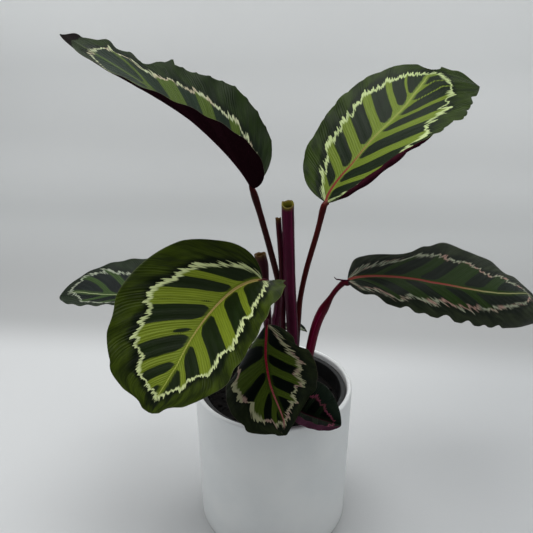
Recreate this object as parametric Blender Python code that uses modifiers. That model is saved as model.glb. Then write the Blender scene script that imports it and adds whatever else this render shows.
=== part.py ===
"""Potted calathea: a clump of patterned leaves in a nursery pot, stood in a plain white cover pot.

Run with: blender --background --python part.py
Metres, +Z up. The origin is the centre of the cover pot's flat base.
"""

from dataclasses import dataclass
from math import cos, pi, radians, sin

import bmesh
import bpy
from mathutils import Matrix, Vector

# Cover pot, white ceramic
POT_HEIGHT = 0.130
POT_TOP_RADIUS = 0.066
POT_BASE_RADIUS = 0.0645
POT_WALL = 0.004
POT_FLOOR = 0.006
POT_RIM_ROUND = 0.0018
POT_FOOT_ROUND = 0.003
POT_STEPS = 64

# Nursery pot, thin black plastic, with a rolled lip and drain holes
NURSERY_HEIGHT = 0.1195
NURSERY_LIP_RADIUS = 0.0610
NURSERY_LIP_DROP = 0.006
NURSERY_TOP_RADIUS = 0.0585
NURSERY_BASE_RADIUS = 0.0460
NURSERY_WALL = 0.0012
NURSERY_LIP_EDGE = 0.0006
NURSERY_STEPS = 48
DRAIN_HOLES = 6
DRAIN_HOLE_RADIUS = 0.005
DRAIN_CIRCLE_RADIUS = 0.028

# Soil, a low mound
SOIL_EDGE_DEPTH = 0.014
SOIL_CENTRE_DEPTH = 0.0105
SOIL_STEPS = 48
MOUND_STEPS = 6

# Rhizome, the short oval rootstock that carries every stem
RHIZOME_CENTRE = (0.0135, 0.0)
RHIZOME_RADIUS_X = 0.0215
RHIZOME_RADIUS_Y = 0.0200
RHIZOME_TOP = 0.1170
RHIZOME_DEPTH = 0.0200
RHIZOME_CROWN_SHARE = 0.93
RHIZOME_EDGE_DROP = 0.0015
RHIZOME_SIDE_DROP = 0.0050
RHIZOME_UNDER_STEPS = 6
RHIZOME_STEPS = 32

# Between pieces that touch
GAP = 0.0003
MERGE = 0.00001

# Leaves
BLADE_THICKNESS = 0.0008
BLADE_ROWS = 16
BLADE_COLUMNS = 8
RIB_SAMPLES = 120
LOBE_REACH = 0.3
FLAT_ANGLE = 0.0001

# Stems
STEM_SAMPLES = 12
STEM_SIDES = 2
STEM_START_RISE = 0.006
BLADE_APPROACH = 0.004
SHEATH_FADE = 0.15
PATH_SAMPLES = 24


@dataclass(frozen=True)
class Blade:
    """One leaf blade. Angles are in degrees, and pairs are (left, right), seen from base to tip."""

    name: str
    base: tuple
    heading: float
    sweep: float
    rise: float
    droop: float
    droop_power: float
    length: float
    width: float
    widest: float
    base_round: float
    tip_sharp: float
    lobes: tuple
    roll: float
    twist: float
    fold: tuple
    fold_change: tuple
    cup: tuple
    cup_change: tuple
    share: tuple
    colour: tuple = (0.05, 0.12, 0.03, 1.0)


@dataclass(frozen=True)
class Stem:
    """A leaf stalk or a cut stub: where it leaves the rhizome, the points it passes and its radii.

    seat is how far a stalk ends short of the base of its blade.
    """

    name: str
    foot: tuple
    through: tuple
    foot_radius: float
    sheath_radius: float
    sheath_end: float
    top_radius: float
    blade: str = ""
    seat: float = 0.0006
    colour: tuple = (0.12, 0.01, 0.02, 1.0)


BLADES = (
    Blade(
        name="leaf_upper_left",
        base=(-0.0165, 0.000, 0.298),
        heading=179,
        sweep=13,
        rise=75,
        droop=46,
        droop_power=0.33,
        length=0.167,
        width=0.118,
        widest=0.31,
        base_round=0.58,
        tip_sharp=0.80,
        lobes=(0.0, 0.03),
        roll=-5,
        twist=-5,
        fold=(6, 5),
        fold_change=(-38, -26),
        cup=(25, 23),
        cup_change=(-8, -29),
        share=(1.0, 1.0),
    ),
    Blade(
        name="leaf_upper_right",
        base=(0.039, 0.000, 0.287),
        heading=31,
        sweep=-8,
        rise=51,
        droop=72,
        droop_power=2.2,
        length=0.171,
        width=0.101,
        widest=0.41,
        base_round=0.49,
        tip_sharp=0.79,
        lobes=(0.04, 0.04),
        roll=15,
        twist=13,
        fold=(-8, 3),
        fold_change=(1, -33),
        cup=(14, 20),
        cup_change=(-2, -30),
        share=(0.99, 0.975),
    ),
    Blade(
        name="leaf_front_left",
        base=(-0.009, -0.030, 0.236),
        heading=225,
        sweep=19,
        rise=31,
        droop=74,
        droop_power=0.4,
        length=0.132,
        width=0.109,
        widest=0.53,
        base_round=0.51,
        tip_sharp=0.66,
        lobes=(0.055, 0.0),
        roll=-21,
        twist=11,
        fold=(22, 20),
        fold_change=(-16, -20),
        cup=(14, 14),
        cup_change=(-12, -21),
        share=(0.97, 1.04),
    ),
    Blade(
        name="leaf_right",
        base=(0.058, 0.000, 0.223),
        heading=-6,
        sweep=25,
        rise=6,
        droop=40,
        droop_power=1.24,
        length=0.183,
        width=0.074,
        widest=0.55,
        base_round=0.63,
        tip_sharp=0.59,
        lobes=(0.07, 0.0),
        roll=23,
        twist=8,
        fold=(0, -4),
        fold_change=(-12, -20),
        cup=(-2, -46),
        cup_change=(-11, -18),
        share=(1.06, 0.90),
    ),
    Blade(
        name="leaf_back_left",
        base=(-0.059, 0.030, 0.185),
        heading=170,
        sweep=10,
        rise=10,
        droop=16,
        droop_power=1.0,
        length=0.129,
        width=0.090,
        widest=0.42,
        base_round=0.50,
        tip_sharp=0.69,
        lobes=(0.03, 0.03),
        roll=-4,
        twist=-5,
        fold=(16, 14),
        fold_change=(-13, -2),
        cup=(14, 10),
        cup_change=(-12, -2),
        share=(1.0, 1.0),
    ),
    Blade(
        name="leaf_front_small",
        base=(-0.006, -0.037, 0.203),
        heading=262,
        sweep=56,
        rise=-39,
        droop=26,
        droop_power=1.0,
        length=0.082,
        width=0.073,
        widest=0.52,
        base_round=0.47,
        tip_sharp=0.80,
        lobes=(-0.04, 0.03),
        roll=28,
        twist=-14,
        fold=(5, -6),
        fold_change=(-15, 25),
        cup=(-22, -36),
        cup_change=(-12, 24),
        share=(0.96, 1.04),
    ),
    Blade(
        name="leaf_low_right",
        base=(0.009, -0.037, 0.133),
        heading=-49,
        sweep=20,
        rise=4,
        droop=-1.5,
        droop_power=1.0,
        length=0.052,
        width=0.054,
        widest=0.49,
        base_round=0.50,
        tip_sharp=0.61,
        lobes=(0.03, 0.03),
        roll=41,
        twist=11,
        fold=(27, 10),
        fold_change=(-9, -14),
        cup=(-18, 135),
        cup_change=(-10, -1),
        share=(1.0, 0.99),
    ),
    Blade(
        name="leaf_back_small",
        base=(0.0060, 0.027, 0.163),
        heading=-8,
        sweep=0,
        rise=28,
        droop=50,
        droop_power=1.0,
        length=0.024,
        width=0.016,
        widest=0.45,
        base_round=0.55,
        tip_sharp=0.80,
        lobes=(0.0, 0.0),
        roll=0,
        twist=0,
        fold=(30, 30),
        fold_change=(-10, -10),
        cup=(0, 0),
        cup_change=(0, 0),
        share=(1.0, 1.0),
    ),
)

STEMS = (
    Stem(
        name="stem_upper_left",
        foot=(0.0080, 0.0060),
        through=(
            (0.0072, 0.0055, 0.175),
            (0.0055, 0.005, 0.204),
            (0.0020, 0.004, 0.227),
            (-0.0088, 0.001, 0.2705),
        ),
        foot_radius=0.0030,
        sheath_radius=0.0030,
        sheath_end=0.40,
        top_radius=0.0024,
        blade="leaf_upper_left",
    ),
    Stem(
        name="stem_upper_right",
        foot=(0.0175, 0.0080),
        through=(
            (0.0190, 0.008, 0.165),
            (0.0206, 0.007, 0.197),
            (0.0250, 0.005, 0.2275),
            (0.0331, 0.002, 0.2633),
        ),
        foot_radius=0.0032,
        sheath_radius=0.0030,
        sheath_end=0.35,
        top_radius=0.0022,
        blade="leaf_upper_right",
    ),
    Stem(
        name="stem_front_left",
        foot=(0.0085, -0.0100),
        through=(
            (0.0040, -0.0120, 0.150),
            (0.0010, -0.014, 0.191),
            (0.0025, -0.016, 0.2040),
            (0.0025, -0.021, 0.224),
        ),
        foot_radius=0.0032,
        sheath_radius=0.0030,
        sheath_end=0.72,
        top_radius=0.0021,
        blade="leaf_front_left",
    ),
    Stem(
        name="stem_right",
        foot=(0.0265, 0.0020),
        through=((0.0278, 0.002, 0.140), (0.0350, 0.002, 0.1825), (0.0457, 0.001, 0.2083)),
        foot_radius=0.0036,
        sheath_radius=0.0040,
        sheath_end=0.66,
        top_radius=0.0021,
        blade="leaf_right",
    ),
    Stem(
        name="stem_back_left",
        foot=(0.0000, 0.0010),
        through=((-0.0080, 0.003, 0.142), (-0.0270, 0.014, 0.168), (-0.0440, 0.025, 0.180)),
        foot_radius=0.0028,
        sheath_radius=0.0026,
        sheath_end=0.40,
        top_radius=0.0017,
        blade="leaf_back_left",
    ),
    Stem(
        name="stem_front_small",
        foot=(0.0010, -0.0090),
        through=((-0.0035, -0.012, 0.145), (-0.0055, -0.0205, 0.180), (-0.0055, -0.0285, 0.199)),
        foot_radius=0.0024,
        sheath_radius=0.0020,
        sheath_end=0.45,
        top_radius=0.0013,
        blade="leaf_front_small",
        seat=0.0016,
    ),
    Stem(
        name="stem_low_right",
        foot=(0.0135, -0.0135),
        through=((0.0100, -0.0210, 0.1290), (0.0065, -0.0290, 0.1322)),
        foot_radius=0.0022,
        sheath_radius=0.0018,
        sheath_end=0.45,
        top_radius=0.0012,
        blade="leaf_low_right",
    ),
    Stem(
        name="stem_back_small",
        foot=(0.0125, 0.0145),
        through=((0.0085, 0.0220, 0.138), (0.0030, 0.0265, 0.155)),
        foot_radius=0.0018,
        sheath_radius=0.0015,
        sheath_end=0.45,
        top_radius=0.0010,
        blade="leaf_back_small",
    ),
    Stem(
        name="cut_stem_tall",
        foot=(0.0185, -0.0030),
        through=(
            (0.0170, -0.003, 0.150),
            (0.0149, -0.003, 0.187),
            (0.0124, -0.003, 0.225),
            (0.0100, -0.003, 0.2867),
        ),
        foot_radius=0.0046,
        sheath_radius=0.0048,
        sheath_end=1.0,
        top_radius=0.0048,
        colour=(0.14, 0.01, 0.07, 1.0),
    ),
    Stem(
        name="cut_stem_thin",
        foot=(0.0095, -0.0020),
        through=((0.0078, -0.001, 0.170), (0.0062, 0.001, 0.231), (0.0030, 0.002, 0.2742)),
        foot_radius=0.0024,
        sheath_radius=0.0022,
        sheath_end=1.0,
        top_radius=0.0020,
        colour=(0.12, 0.01, 0.06, 1.0),
    ),
    Stem(
        name="cut_stem_short",
        foot=(-0.0005, 0.0100),
        through=((-0.0030, 0.0130, 0.150), (-0.0075, 0.013, 0.219), (-0.0112, 0.012, 0.2409)),
        foot_radius=0.0034,
        sheath_radius=0.0036,
        sheath_end=0.80,
        top_radius=0.0048,
        colour=(0.12, 0.01, 0.06, 1.0),
    ),
)

# The tall stub is cut across and hollow at its top
STUB_BORE_RADIUS = 0.0034
STUB_BORE_DEPTH = 0.012
STUB_BORE_SIDES = 12


def clear_scene():
    """Remove every object of the file that this runs in."""
    for thing in list(bpy.data.objects):
        bpy.data.objects.remove(thing, do_unlink=True)


def new_collection(name):
    """Make a collection in the scene."""
    group = bpy.data.collections.new(name)
    bpy.context.scene.collection.children.link(group)
    return group


def make_material(name, colour, roughness, metallic=0.0):
    """A Principled material in one colour."""
    material = bpy.data.materials.new(name)
    material.use_nodes = True
    shader = material.node_tree.nodes["Principled BSDF"]
    shader.inputs["Base Color"].default_value = colour
    shader.inputs["Roughness"].default_value = roughness
    shader.inputs["Metallic"].default_value = metallic
    return material


def add_object(name, data, group, material):
    """Link new object data into a collection with its material."""
    thing = bpy.data.objects.new(name, data)
    group.objects.link(thing)
    if material:
        data.materials.append(material)
    return thing


def smooth(mesh, angle=40):
    """Shade a mesh smooth, with sharp edges past the angle."""
    mesh.shade_smooth()
    mesh.set_sharp_from_angle(angle=radians(angle))


def round_corner(centre, radius, start, end, steps=4):
    """Points on an arc in the X-Z plane, from start to end in degrees."""
    angles = [radians(start + (end - start) * i / steps) for i in range(steps + 1)]
    return [(centre[0] + radius * cos(a), centre[1] + radius * sin(a)) for a in angles]


def turned(name, profile, steps, group, material):
    """Turn an X-Z profile about the Z axis; it runs down the outer side from top to bottom."""
    mesh = bpy.data.meshes.new(name)
    edges = [(i, i + 1) for i in range(len(profile) - 1)]
    mesh.from_pydata([(x, 0.0, z) for x, z in profile], edges, [])
    thing = add_object(name, mesh, group, material)
    screw = thing.modifiers.new("turn", "SCREW")
    screw.steps = steps
    screw.render_steps = steps
    screw.use_merge_vertices = True
    screw.merge_threshold = MERGE
    screw.use_smooth_shade = True
    return thing


def cut(target, cutter):
    """Subtract a cutter from an object, and keep the cutter out of sight."""
    boolean = target.modifiers.new("cut_" + cutter.name, "BOOLEAN")
    boolean.operation = "DIFFERENCE"
    boolean.object = cutter
    cutter.hide_render = True
    cutter.display_type = "WIRE"


def make_cover_pot(group):
    """White ceramic pot: a thick-walled cup with a rounded rim, a softened foot and a flat base."""
    inner_top = POT_TOP_RADIUS - POT_WALL
    inner_base = POT_BASE_RADIUS - POT_WALL
    half_wall = POT_WALL / 2
    rim_centre_z = POT_HEIGHT - half_wall
    rim = round_corner((POT_TOP_RADIUS - half_wall, rim_centre_z), half_wall, 180, 0, 8)
    foot = round_corner((POT_BASE_RADIUS - POT_FOOT_ROUND, POT_FOOT_ROUND), POT_FOOT_ROUND, 0, -90)
    inside = [(0.0, POT_FLOOR)]
    inside += round_corner((inner_base - POT_FOOT_ROUND, POT_FLOOR + POT_FOOT_ROUND), POT_FOOT_ROUND, -90, 0)
    profile = inside + [(inner_top, rim_centre_z)] + rim[1:] + foot + [(0.0, 0.0)]
    material = make_material("white_ceramic", (0.80, 0.81, 0.81, 1.0), 0.35)
    return turned("cover_pot", profile, POT_STEPS, group, material)


def nursery_radius(height):
    """Outer radius of the nursery pot's wall at a height above its base."""
    share = height / NURSERY_HEIGHT
    return NURSERY_BASE_RADIUS + (NURSERY_TOP_RADIUS - NURSERY_BASE_RADIUS) * share


def make_nursery_pot(group, cutters):
    """Tapered plastic pot with a turned-down lip, standing on the cover pot's floor."""
    base = POT_FLOOR + GAP
    top = base + NURSERY_HEIGHT
    lip_bottom = top - NURSERY_LIP_DROP
    wall_under_lip = nursery_radius(NURSERY_HEIGHT - NURSERY_WALL)
    inner_base = nursery_radius(NURSERY_WALL) - NURSERY_WALL
    inner_top = NURSERY_TOP_RADIUS - NURSERY_WALL
    profile = [(0.0, base + NURSERY_WALL), (inner_base, base + NURSERY_WALL), (inner_top, top)]
    profile += [(NURSERY_LIP_RADIUS - NURSERY_LIP_EDGE, top), (NURSERY_LIP_RADIUS, top - NURSERY_LIP_EDGE)]
    profile += [(NURSERY_LIP_RADIUS, lip_bottom), (NURSERY_LIP_RADIUS - NURSERY_WALL, lip_bottom)]
    profile += [(NURSERY_LIP_RADIUS - NURSERY_WALL, top - NURSERY_WALL), (wall_under_lip, top - NURSERY_WALL)]
    profile += [(NURSERY_BASE_RADIUS, base), (0.0, base)]
    material = make_material("black_plastic", (0.03, 0.03, 0.03, 1.0), 0.5)
    pot = turned("nursery_pot", profile, NURSERY_STEPS, group, material)
    for i in range(DRAIN_HOLES):
        angle = 2 * pi * i / DRAIN_HOLES
        place = (DRAIN_CIRCLE_RADIUS * cos(angle), DRAIN_CIRCLE_RADIUS * sin(angle), base)
        hole = make_cylinder("drain_hole_%d" % (i + 1), DRAIN_HOLE_RADIUS, 4 * NURSERY_WALL, place, cutters)
        cut(pot, hole)
    return pot


def make_cylinder(name, radius, depth, place, group, sides=20):
    """A plain cylinder, centred on a place."""
    mesh = bpy.data.meshes.new(name)
    shape = bmesh.new()
    bmesh.ops.create_cone(
        shape, cap_ends=True, segments=sides, radius1=radius, radius2=radius, depth=depth
    )
    shape.to_mesh(mesh)
    shape.free()
    thing = add_object(name, mesh, group, None)
    thing.location = place
    return thing


def rhizome_profile(grow):
    """Flat-topped profile of the rhizome, as shares of its radius, grown outwards by some metres."""
    top = RHIZOME_TOP
    bottom = RHIZOME_TOP - RHIZOME_DEPTH - grow
    radius = RHIZOME_RADIUS_X + grow
    side = top - RHIZOME_SIDE_DROP
    points = [(0.0, top), (radius * RHIZOME_CROWN_SHARE, top)]
    points += [(radius, top - RHIZOME_EDGE_DROP), (radius, side)]
    for i in range(1, RHIZOME_UNDER_STEPS):
        angle = pi / 2 * i / RHIZOME_UNDER_STEPS
        points.append((radius * cos(angle), side - (side - bottom) * sin(angle)))
    return points + [(0.0, bottom)]


def make_rhizome(group):
    """Short oval rootstock with a flat crown, on which the stems stand."""
    material = make_material("rootstock", (0.06, 0.03, 0.02, 1.0), 0.9)
    rhizome = turned("rhizome", rhizome_profile(0.0), RHIZOME_STEPS, group, material)
    rhizome.location = (RHIZOME_CENTRE[0], RHIZOME_CENTRE[1], 0.0)
    rhizome.scale = (1.0, RHIZOME_RADIUS_Y / RHIZOME_RADIUS_X, 1.0)
    return rhizome


def make_soil(group, cutters):
    """Potting soil that fills the nursery pot, with a pocket for the rhizome."""
    pot_base = POT_FLOOR + GAP
    bottom = pot_base + NURSERY_WALL + GAP
    rim = pot_base + NURSERY_HEIGHT
    edge_top = rim - SOIL_EDGE_DEPTH
    centre_top = rim - SOIL_CENTRE_DEPTH
    edge_radius = nursery_radius(edge_top - pot_base) - NURSERY_WALL - GAP
    foot_radius = nursery_radius(bottom - pot_base) - NURSERY_WALL - GAP
    profile = [(0.0, centre_top)]
    for i in range(1, MOUND_STEPS):
        share = i / MOUND_STEPS
        profile.append((edge_radius * share, edge_top + (centre_top - edge_top) * (1 - share**2)))
    profile += [(edge_radius, edge_top), (foot_radius, bottom), (0.0, bottom)]
    material = make_material("potting_soil", (0.015, 0.011, 0.008, 1.0), 0.95)
    soil = turned("soil", profile, SOIL_STEPS, group, material)

    pocket_profile = rhizome_profile(GAP)
    pocket_profile[0] = (0.0, rim)
    pocket_profile[1] = (RHIZOME_RADIUS_X + GAP, rim)
    pocket_profile.pop(2)
    pocket = turned("rhizome_pocket", pocket_profile, RHIZOME_STEPS, cutters, None)
    pocket.location = (RHIZOME_CENTRE[0], RHIZOME_CENTRE[1], 0.0)
    grown_y = (RHIZOME_RADIUS_Y + GAP) / (RHIZOME_RADIUS_X + GAP)
    pocket.scale = (1.0, grown_y, 1.0)
    cut(soil, pocket)
    return soil


def rib_direction(blade, share):
    """Direction of the midrib at a share of its length, with its heading and rise in radians."""
    heading = radians(blade.heading + blade.sweep * share)
    rise = radians(blade.rise - blade.droop * share**blade.droop_power)
    forward = Vector((cos(rise) * cos(heading), cos(rise) * sin(heading), sin(rise)))
    upward = Vector((-sin(rise) * cos(heading), -sin(rise) * sin(heading), cos(rise)))
    return forward, upward


def rib_frames(blade):
    """Points along the midrib, each with its forward, up and left directions."""
    frames = []
    place = Vector(blade.base)
    step = blade.length / RIB_SAMPLES
    for i in range(RIB_SAMPLES + 1):
        share = i / RIB_SAMPLES
        forward, upward = rib_direction(blade, share)
        turn = Matrix.Rotation(radians(blade.roll + blade.twist * share), 3, forward)
        normal = turn @ upward
        frames.append((place.copy(), forward, normal, normal.cross(forward)))
        middle = rib_direction(blade, (i + 0.5) / RIB_SAMPLES)[0]
        place = place + middle * step
    return frames


def frame_at(frames, share):
    """The frame at a share of the midrib, between two samples."""
    spot = min(max(share, 0.0), 1.0) * RIB_SAMPLES
    low = min(int(spot), RIB_SAMPLES - 1)
    mix = spot - low
    return [a.lerp(b, mix) for a, b in zip(frames[low], frames[low + 1])]


def half_width(blade, share):
    """Half the blade's width at a share of its length."""
    if share < blade.widest:
        return blade.width / 2 * (1 - (1 - share / blade.widest) ** 2) ** blade.base_round
    past = (share - blade.widest) / (1 - blade.widest)
    return blade.width / 2 * max(1 - past**2, 0.0) ** blade.tip_sharp


def blade_point(blade, frames, share, across):
    """A point of the blade: across runs from -1 at the right margin, over the midrib, to 1 at the left."""
    side = 0 if across > 0 else 1
    reach = abs(across)
    width = half_width(blade, share) * blade.share[side]
    back = blade.lobes[side] * sin(pi * share / LOBE_REACH) if share < LOBE_REACH else 0.0
    along = share - back * reach**1.5
    place, forward, normal, left = frame_at(frames, along)
    if along < 0:
        place = place + forward * along * blade.length
    fold = radians(blade.fold[side] + blade.fold_change[side] * (share - 0.5))
    cup = radians(blade.cup[side] + blade.cup_change[side] * (share - 0.5))
    if abs(cup) < FLAT_ANGLE:
        outward, upward = reach * cos(fold), reach * sin(fold)
    else:
        outward = (sin(fold + cup * reach) - sin(fold)) / cup
        upward = (cos(fold) - cos(fold + cup * reach)) / cup
    sign = 1 if side == 0 else -1
    return place + left * (sign * outward * width) + normal * (upward * width)


def make_blade(blade, group, material):
    """A thin closed leaf blade: a grid laid over the midrib and the two lobes, given a thickness."""
    frames = rib_frames(blade)
    mesh = bpy.data.meshes.new(blade.name)
    sheet = bmesh.new()
    bmesh.ops.create_grid(sheet, x_segments=BLADE_ROWS, y_segments=BLADE_COLUMNS, size=1.0)
    for vertex in sheet.verts:
        share = (1 - cos(pi * (vertex.co.x + 1) / 2)) / 2
        vertex.co = blade_point(blade, frames, share, vertex.co.y)
    bmesh.ops.remove_doubles(sheet, verts=sheet.verts, dist=MERGE)
    bmesh.ops.recalc_face_normals(sheet, faces=sheet.faces)
    sheet.to_mesh(mesh)
    sheet.free()
    mesh.shade_smooth()
    thing = add_object(blade.name, mesh, group, material)
    thickness = thing.modifiers.new("thickness", "SOLIDIFY")
    thickness.thickness = BLADE_THICKNESS
    thickness.offset = 0.0
    return thing


def smooth_path(points, samples):
    """Evenly spread points on a smooth curve through the given points."""
    ends = [points[0] * 2 - points[1]] + list(points) + [points[-1] * 2 - points[-2]]
    fine = []
    for i in range(1, len(ends) - 2):
        a, b, c, d = ends[i - 1 : i + 3]
        for j in range(PATH_SAMPLES):
            t = j / PATH_SAMPLES
            bend = (a * 2 - b * 5 + c * 4 - d) * t**2 + (b * 3 - a - c * 3 + d) * t**3
            fine.append((b * 2 + (c - a) * t + bend) / 2)
    fine.append(points[-1])
    lengths = [0.0]
    for before, after in zip(fine, fine[1:]):
        lengths.append(lengths[-1] + (after - before).length)
    spread = []
    spot = 0
    for i in range(samples):
        wanted = lengths[-1] * i / (samples - 1)
        while spot < len(lengths) - 2 and lengths[spot + 1] < wanted:
            spot += 1
        part = (wanted - lengths[spot]) / (lengths[spot + 1] - lengths[spot])
        spread.append(fine[spot].lerp(fine[spot + 1], min(part, 1.0)))
    return spread


def stem_points(stem, blades):
    """Centre line of a stem, straight up from the rhizome and on to its blade or its cut end."""
    foot = Vector((stem.foot[0], stem.foot[1], RHIZOME_TOP + GAP))
    points = [foot, foot + Vector((0, 0, STEM_START_RISE))]
    points += [Vector(p) for p in stem.through]
    if stem.blade:
        blade = blades[stem.blade]
        forward = rib_direction(blade, 0.0)[0]
        points.append(Vector(blade.base) - forward * BLADE_APPROACH)
        points.append(Vector(blade.base) - forward * stem.seat)
    return [foot] + smooth_path(points[1:], STEM_SAMPLES - 1)


def stem_radius(stem, share):
    """Radius at a share of a stem's length: a sheath low down that narrows into the stalk."""
    if share < stem.sheath_end:
        return stem.foot_radius + (stem.sheath_radius - stem.foot_radius) * share / stem.sheath_end
    past = min((share - stem.sheath_end) / SHEATH_FADE, 1.0)
    ease = past * past * (3 - 2 * past)
    return stem.sheath_radius + (stem.top_radius - stem.sheath_radius) * ease


def make_stem(stem, blades, group):
    """A stalk or stub: a tapered round tube along its centre line, with closed ends."""
    points = stem_points(stem, blades)
    data = bpy.data.curves.new(stem.name, "CURVE")
    data.dimensions = "3D"
    data.bevel_depth = 1.0
    data.bevel_resolution = STEM_SIDES
    data.use_fill_caps = True
    spline = data.splines.new("POLY")
    spline.points.add(len(points) - 1)
    for i, point in enumerate(points):
        spline.points[i].co = (*point, 1.0)
        spline.points[i].radius = stem_radius(stem, i / (len(points) - 1))
    spline.use_smooth = True
    material = make_material(stem.name + "_skin", stem.colour, 0.45)
    return add_object(stem.name, data, group, material)


def as_mesh(thing, group):
    """Replace a curve object with the closed mesh of its tube."""
    graph = bpy.context.evaluated_depsgraph_get()
    mesh = bpy.data.meshes.new_from_object(thing.evaluated_get(graph))
    shape = bmesh.new()
    shape.from_mesh(mesh)
    bmesh.ops.remove_doubles(shape, verts=shape.verts, dist=MERGE)
    shape.to_mesh(mesh)
    shape.free()
    name = thing.name
    place = thing.matrix_world.copy()
    bpy.data.objects.remove(thing, do_unlink=True)
    solid = bpy.data.objects.new(name, mesh)
    solid.matrix_world = place
    group.objects.link(solid)
    smooth(mesh)
    return solid


def bore_stub(stem, blades, group, cutters):
    """Cut the tall stub across and hollow its top, as a cut leaf sheath is."""
    solid = as_mesh(make_stem(stem, blades, group), group)
    points = stem_points(stem, blades)
    top = points[-1]
    axis = (top - points[-2]).normalized()
    bore = make_cylinder("stub_bore", STUB_BORE_RADIUS, 2 * STUB_BORE_DEPTH, top, cutters, STUB_BORE_SIDES)
    bore.rotation_mode = "QUATERNION"
    bore.rotation_quaternion = axis.to_track_quat("Z", "Y")
    cut(solid, bore)
    return solid


def main():
    """Build the pots, the soil, the rhizome, the leaves and the stems."""
    clear_scene()
    group = new_collection("potted_calathea")
    cutters = new_collection("cutters")
    make_cover_pot(group)
    make_nursery_pot(group, cutters)
    make_soil(group, cutters)
    make_rhizome(group)
    blades = {blade.name: blade for blade in BLADES}
    for blade in BLADES:
        make_blade(blade, group, make_material(blade.name + "_green", blade.colour, 0.4))
    for stem in STEMS:
        if stem.name == "cut_stem_tall":
            bore_stub(stem, blades, group, cutters)
        else:
            make_stem(stem, blades, group)


main()
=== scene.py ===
"""Looks of the potted calathea: leaves, stalks, pots, soil and a plain studio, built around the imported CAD.

Metres, +Z up. The origin is the centre of the cover pot's flat base, and -Y is the side that faces the
camera.
"""
import logging
from dataclasses import dataclass
from enum import Enum
from math import cos, pi, radians, sin
from typing import Optional, Sequence, Union

import bmesh
import bpy
import numpy as np
from mathutils import Matrix, Vector, noise


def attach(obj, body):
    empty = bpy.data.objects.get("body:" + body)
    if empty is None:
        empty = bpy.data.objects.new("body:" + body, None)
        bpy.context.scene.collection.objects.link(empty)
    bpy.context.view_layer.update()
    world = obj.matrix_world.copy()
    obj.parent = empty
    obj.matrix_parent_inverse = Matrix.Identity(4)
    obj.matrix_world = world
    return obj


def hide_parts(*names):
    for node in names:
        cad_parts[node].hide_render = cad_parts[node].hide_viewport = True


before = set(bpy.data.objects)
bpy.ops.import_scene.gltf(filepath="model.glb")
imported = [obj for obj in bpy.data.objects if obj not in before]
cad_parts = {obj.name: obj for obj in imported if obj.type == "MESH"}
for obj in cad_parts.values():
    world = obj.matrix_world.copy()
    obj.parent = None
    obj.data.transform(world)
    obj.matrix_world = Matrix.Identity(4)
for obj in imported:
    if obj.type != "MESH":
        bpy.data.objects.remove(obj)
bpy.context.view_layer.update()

BODY = "root"
MERGE = 0.000002
CM = 100.0
LOG = logging.getLogger("calathea")

Colour = tuple[float, float, float]
Pairs = tuple[tuple[float, float], ...]
Profile = list[tuple[float, float]]
Charts = dict[str, np.ndarray]


def shade(red: int, green: int, blue: int) -> Colour:
    """Turn a colour on the 0 to 255 scale into a linear one."""
    return tuple((part / 255) ** 2.2 for part in (red, green, blue))


def scaled(colour: Colour, factor: float) -> Colour:
    """A colour with its parts times a factor."""
    return tuple(factor * part for part in colour)


def table(pairs: Pairs, where: np.ndarray) -> np.ndarray:
    """Read a table of (place, value) pairs at the places given, straight between its rows."""
    return np.interp(where, [pair[0] for pair in pairs], [pair[1] for pair in pairs])


def joined(left: np.ndarray, right: np.ndarray) -> np.ndarray:
    """Values over a whole blade, from its right margin to its left, out of those of its lobes."""
    return np.concatenate([right[:, :0:-1], left], axis=1)


def bump(distance: np.ndarray) -> np.ndarray:
    """A round hump that is 1 at distance 0 and ends at distance 1."""
    return np.where(np.abs(distance) < 1, (1 - distance**2) ** 2, 0.0)


# Shader graphs


class Field:
    """A number that varies over a surface: a shader socket that takes arithmetic."""

    def __init__(self, graph: "Graph", socket: bpy.types.NodeSocket) -> None:
        """Keep the graph and the socket."""
        self.graph = graph
        self.socket = socket

    def __add__(self, other: "Number") -> "Field":
        """Sum."""
        return self.graph.math("ADD", self, other)

    __radd__ = __add__

    def __sub__(self, other: "Number") -> "Field":
        """Difference."""
        return self.graph.math("SUBTRACT", self, other)

    def __rsub__(self, other: "Number") -> "Field":
        """Difference from a plain number."""
        return self.graph.math("SUBTRACT", other, self)

    def __mul__(self, other: "Number") -> "Field":
        """Product."""
        return self.graph.math("MULTIPLY", self, other)

    __rmul__ = __mul__

    def __truediv__(self, other: "Number") -> "Field":
        """Quotient."""
        return self.graph.math("DIVIDE", self, other)

    def __abs__(self) -> "Field":
        """Size without its sign."""
        return self.graph.math("ABSOLUTE", self)

    def rise(self, low: "Number", high: "Number") -> "Field":
        """Smooth step from 0 at low to 1 at high."""
        return self.graph.ramp(self, low, high)


Number = Union[float, Field]
Paint = Union[Colour, Field]


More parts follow.
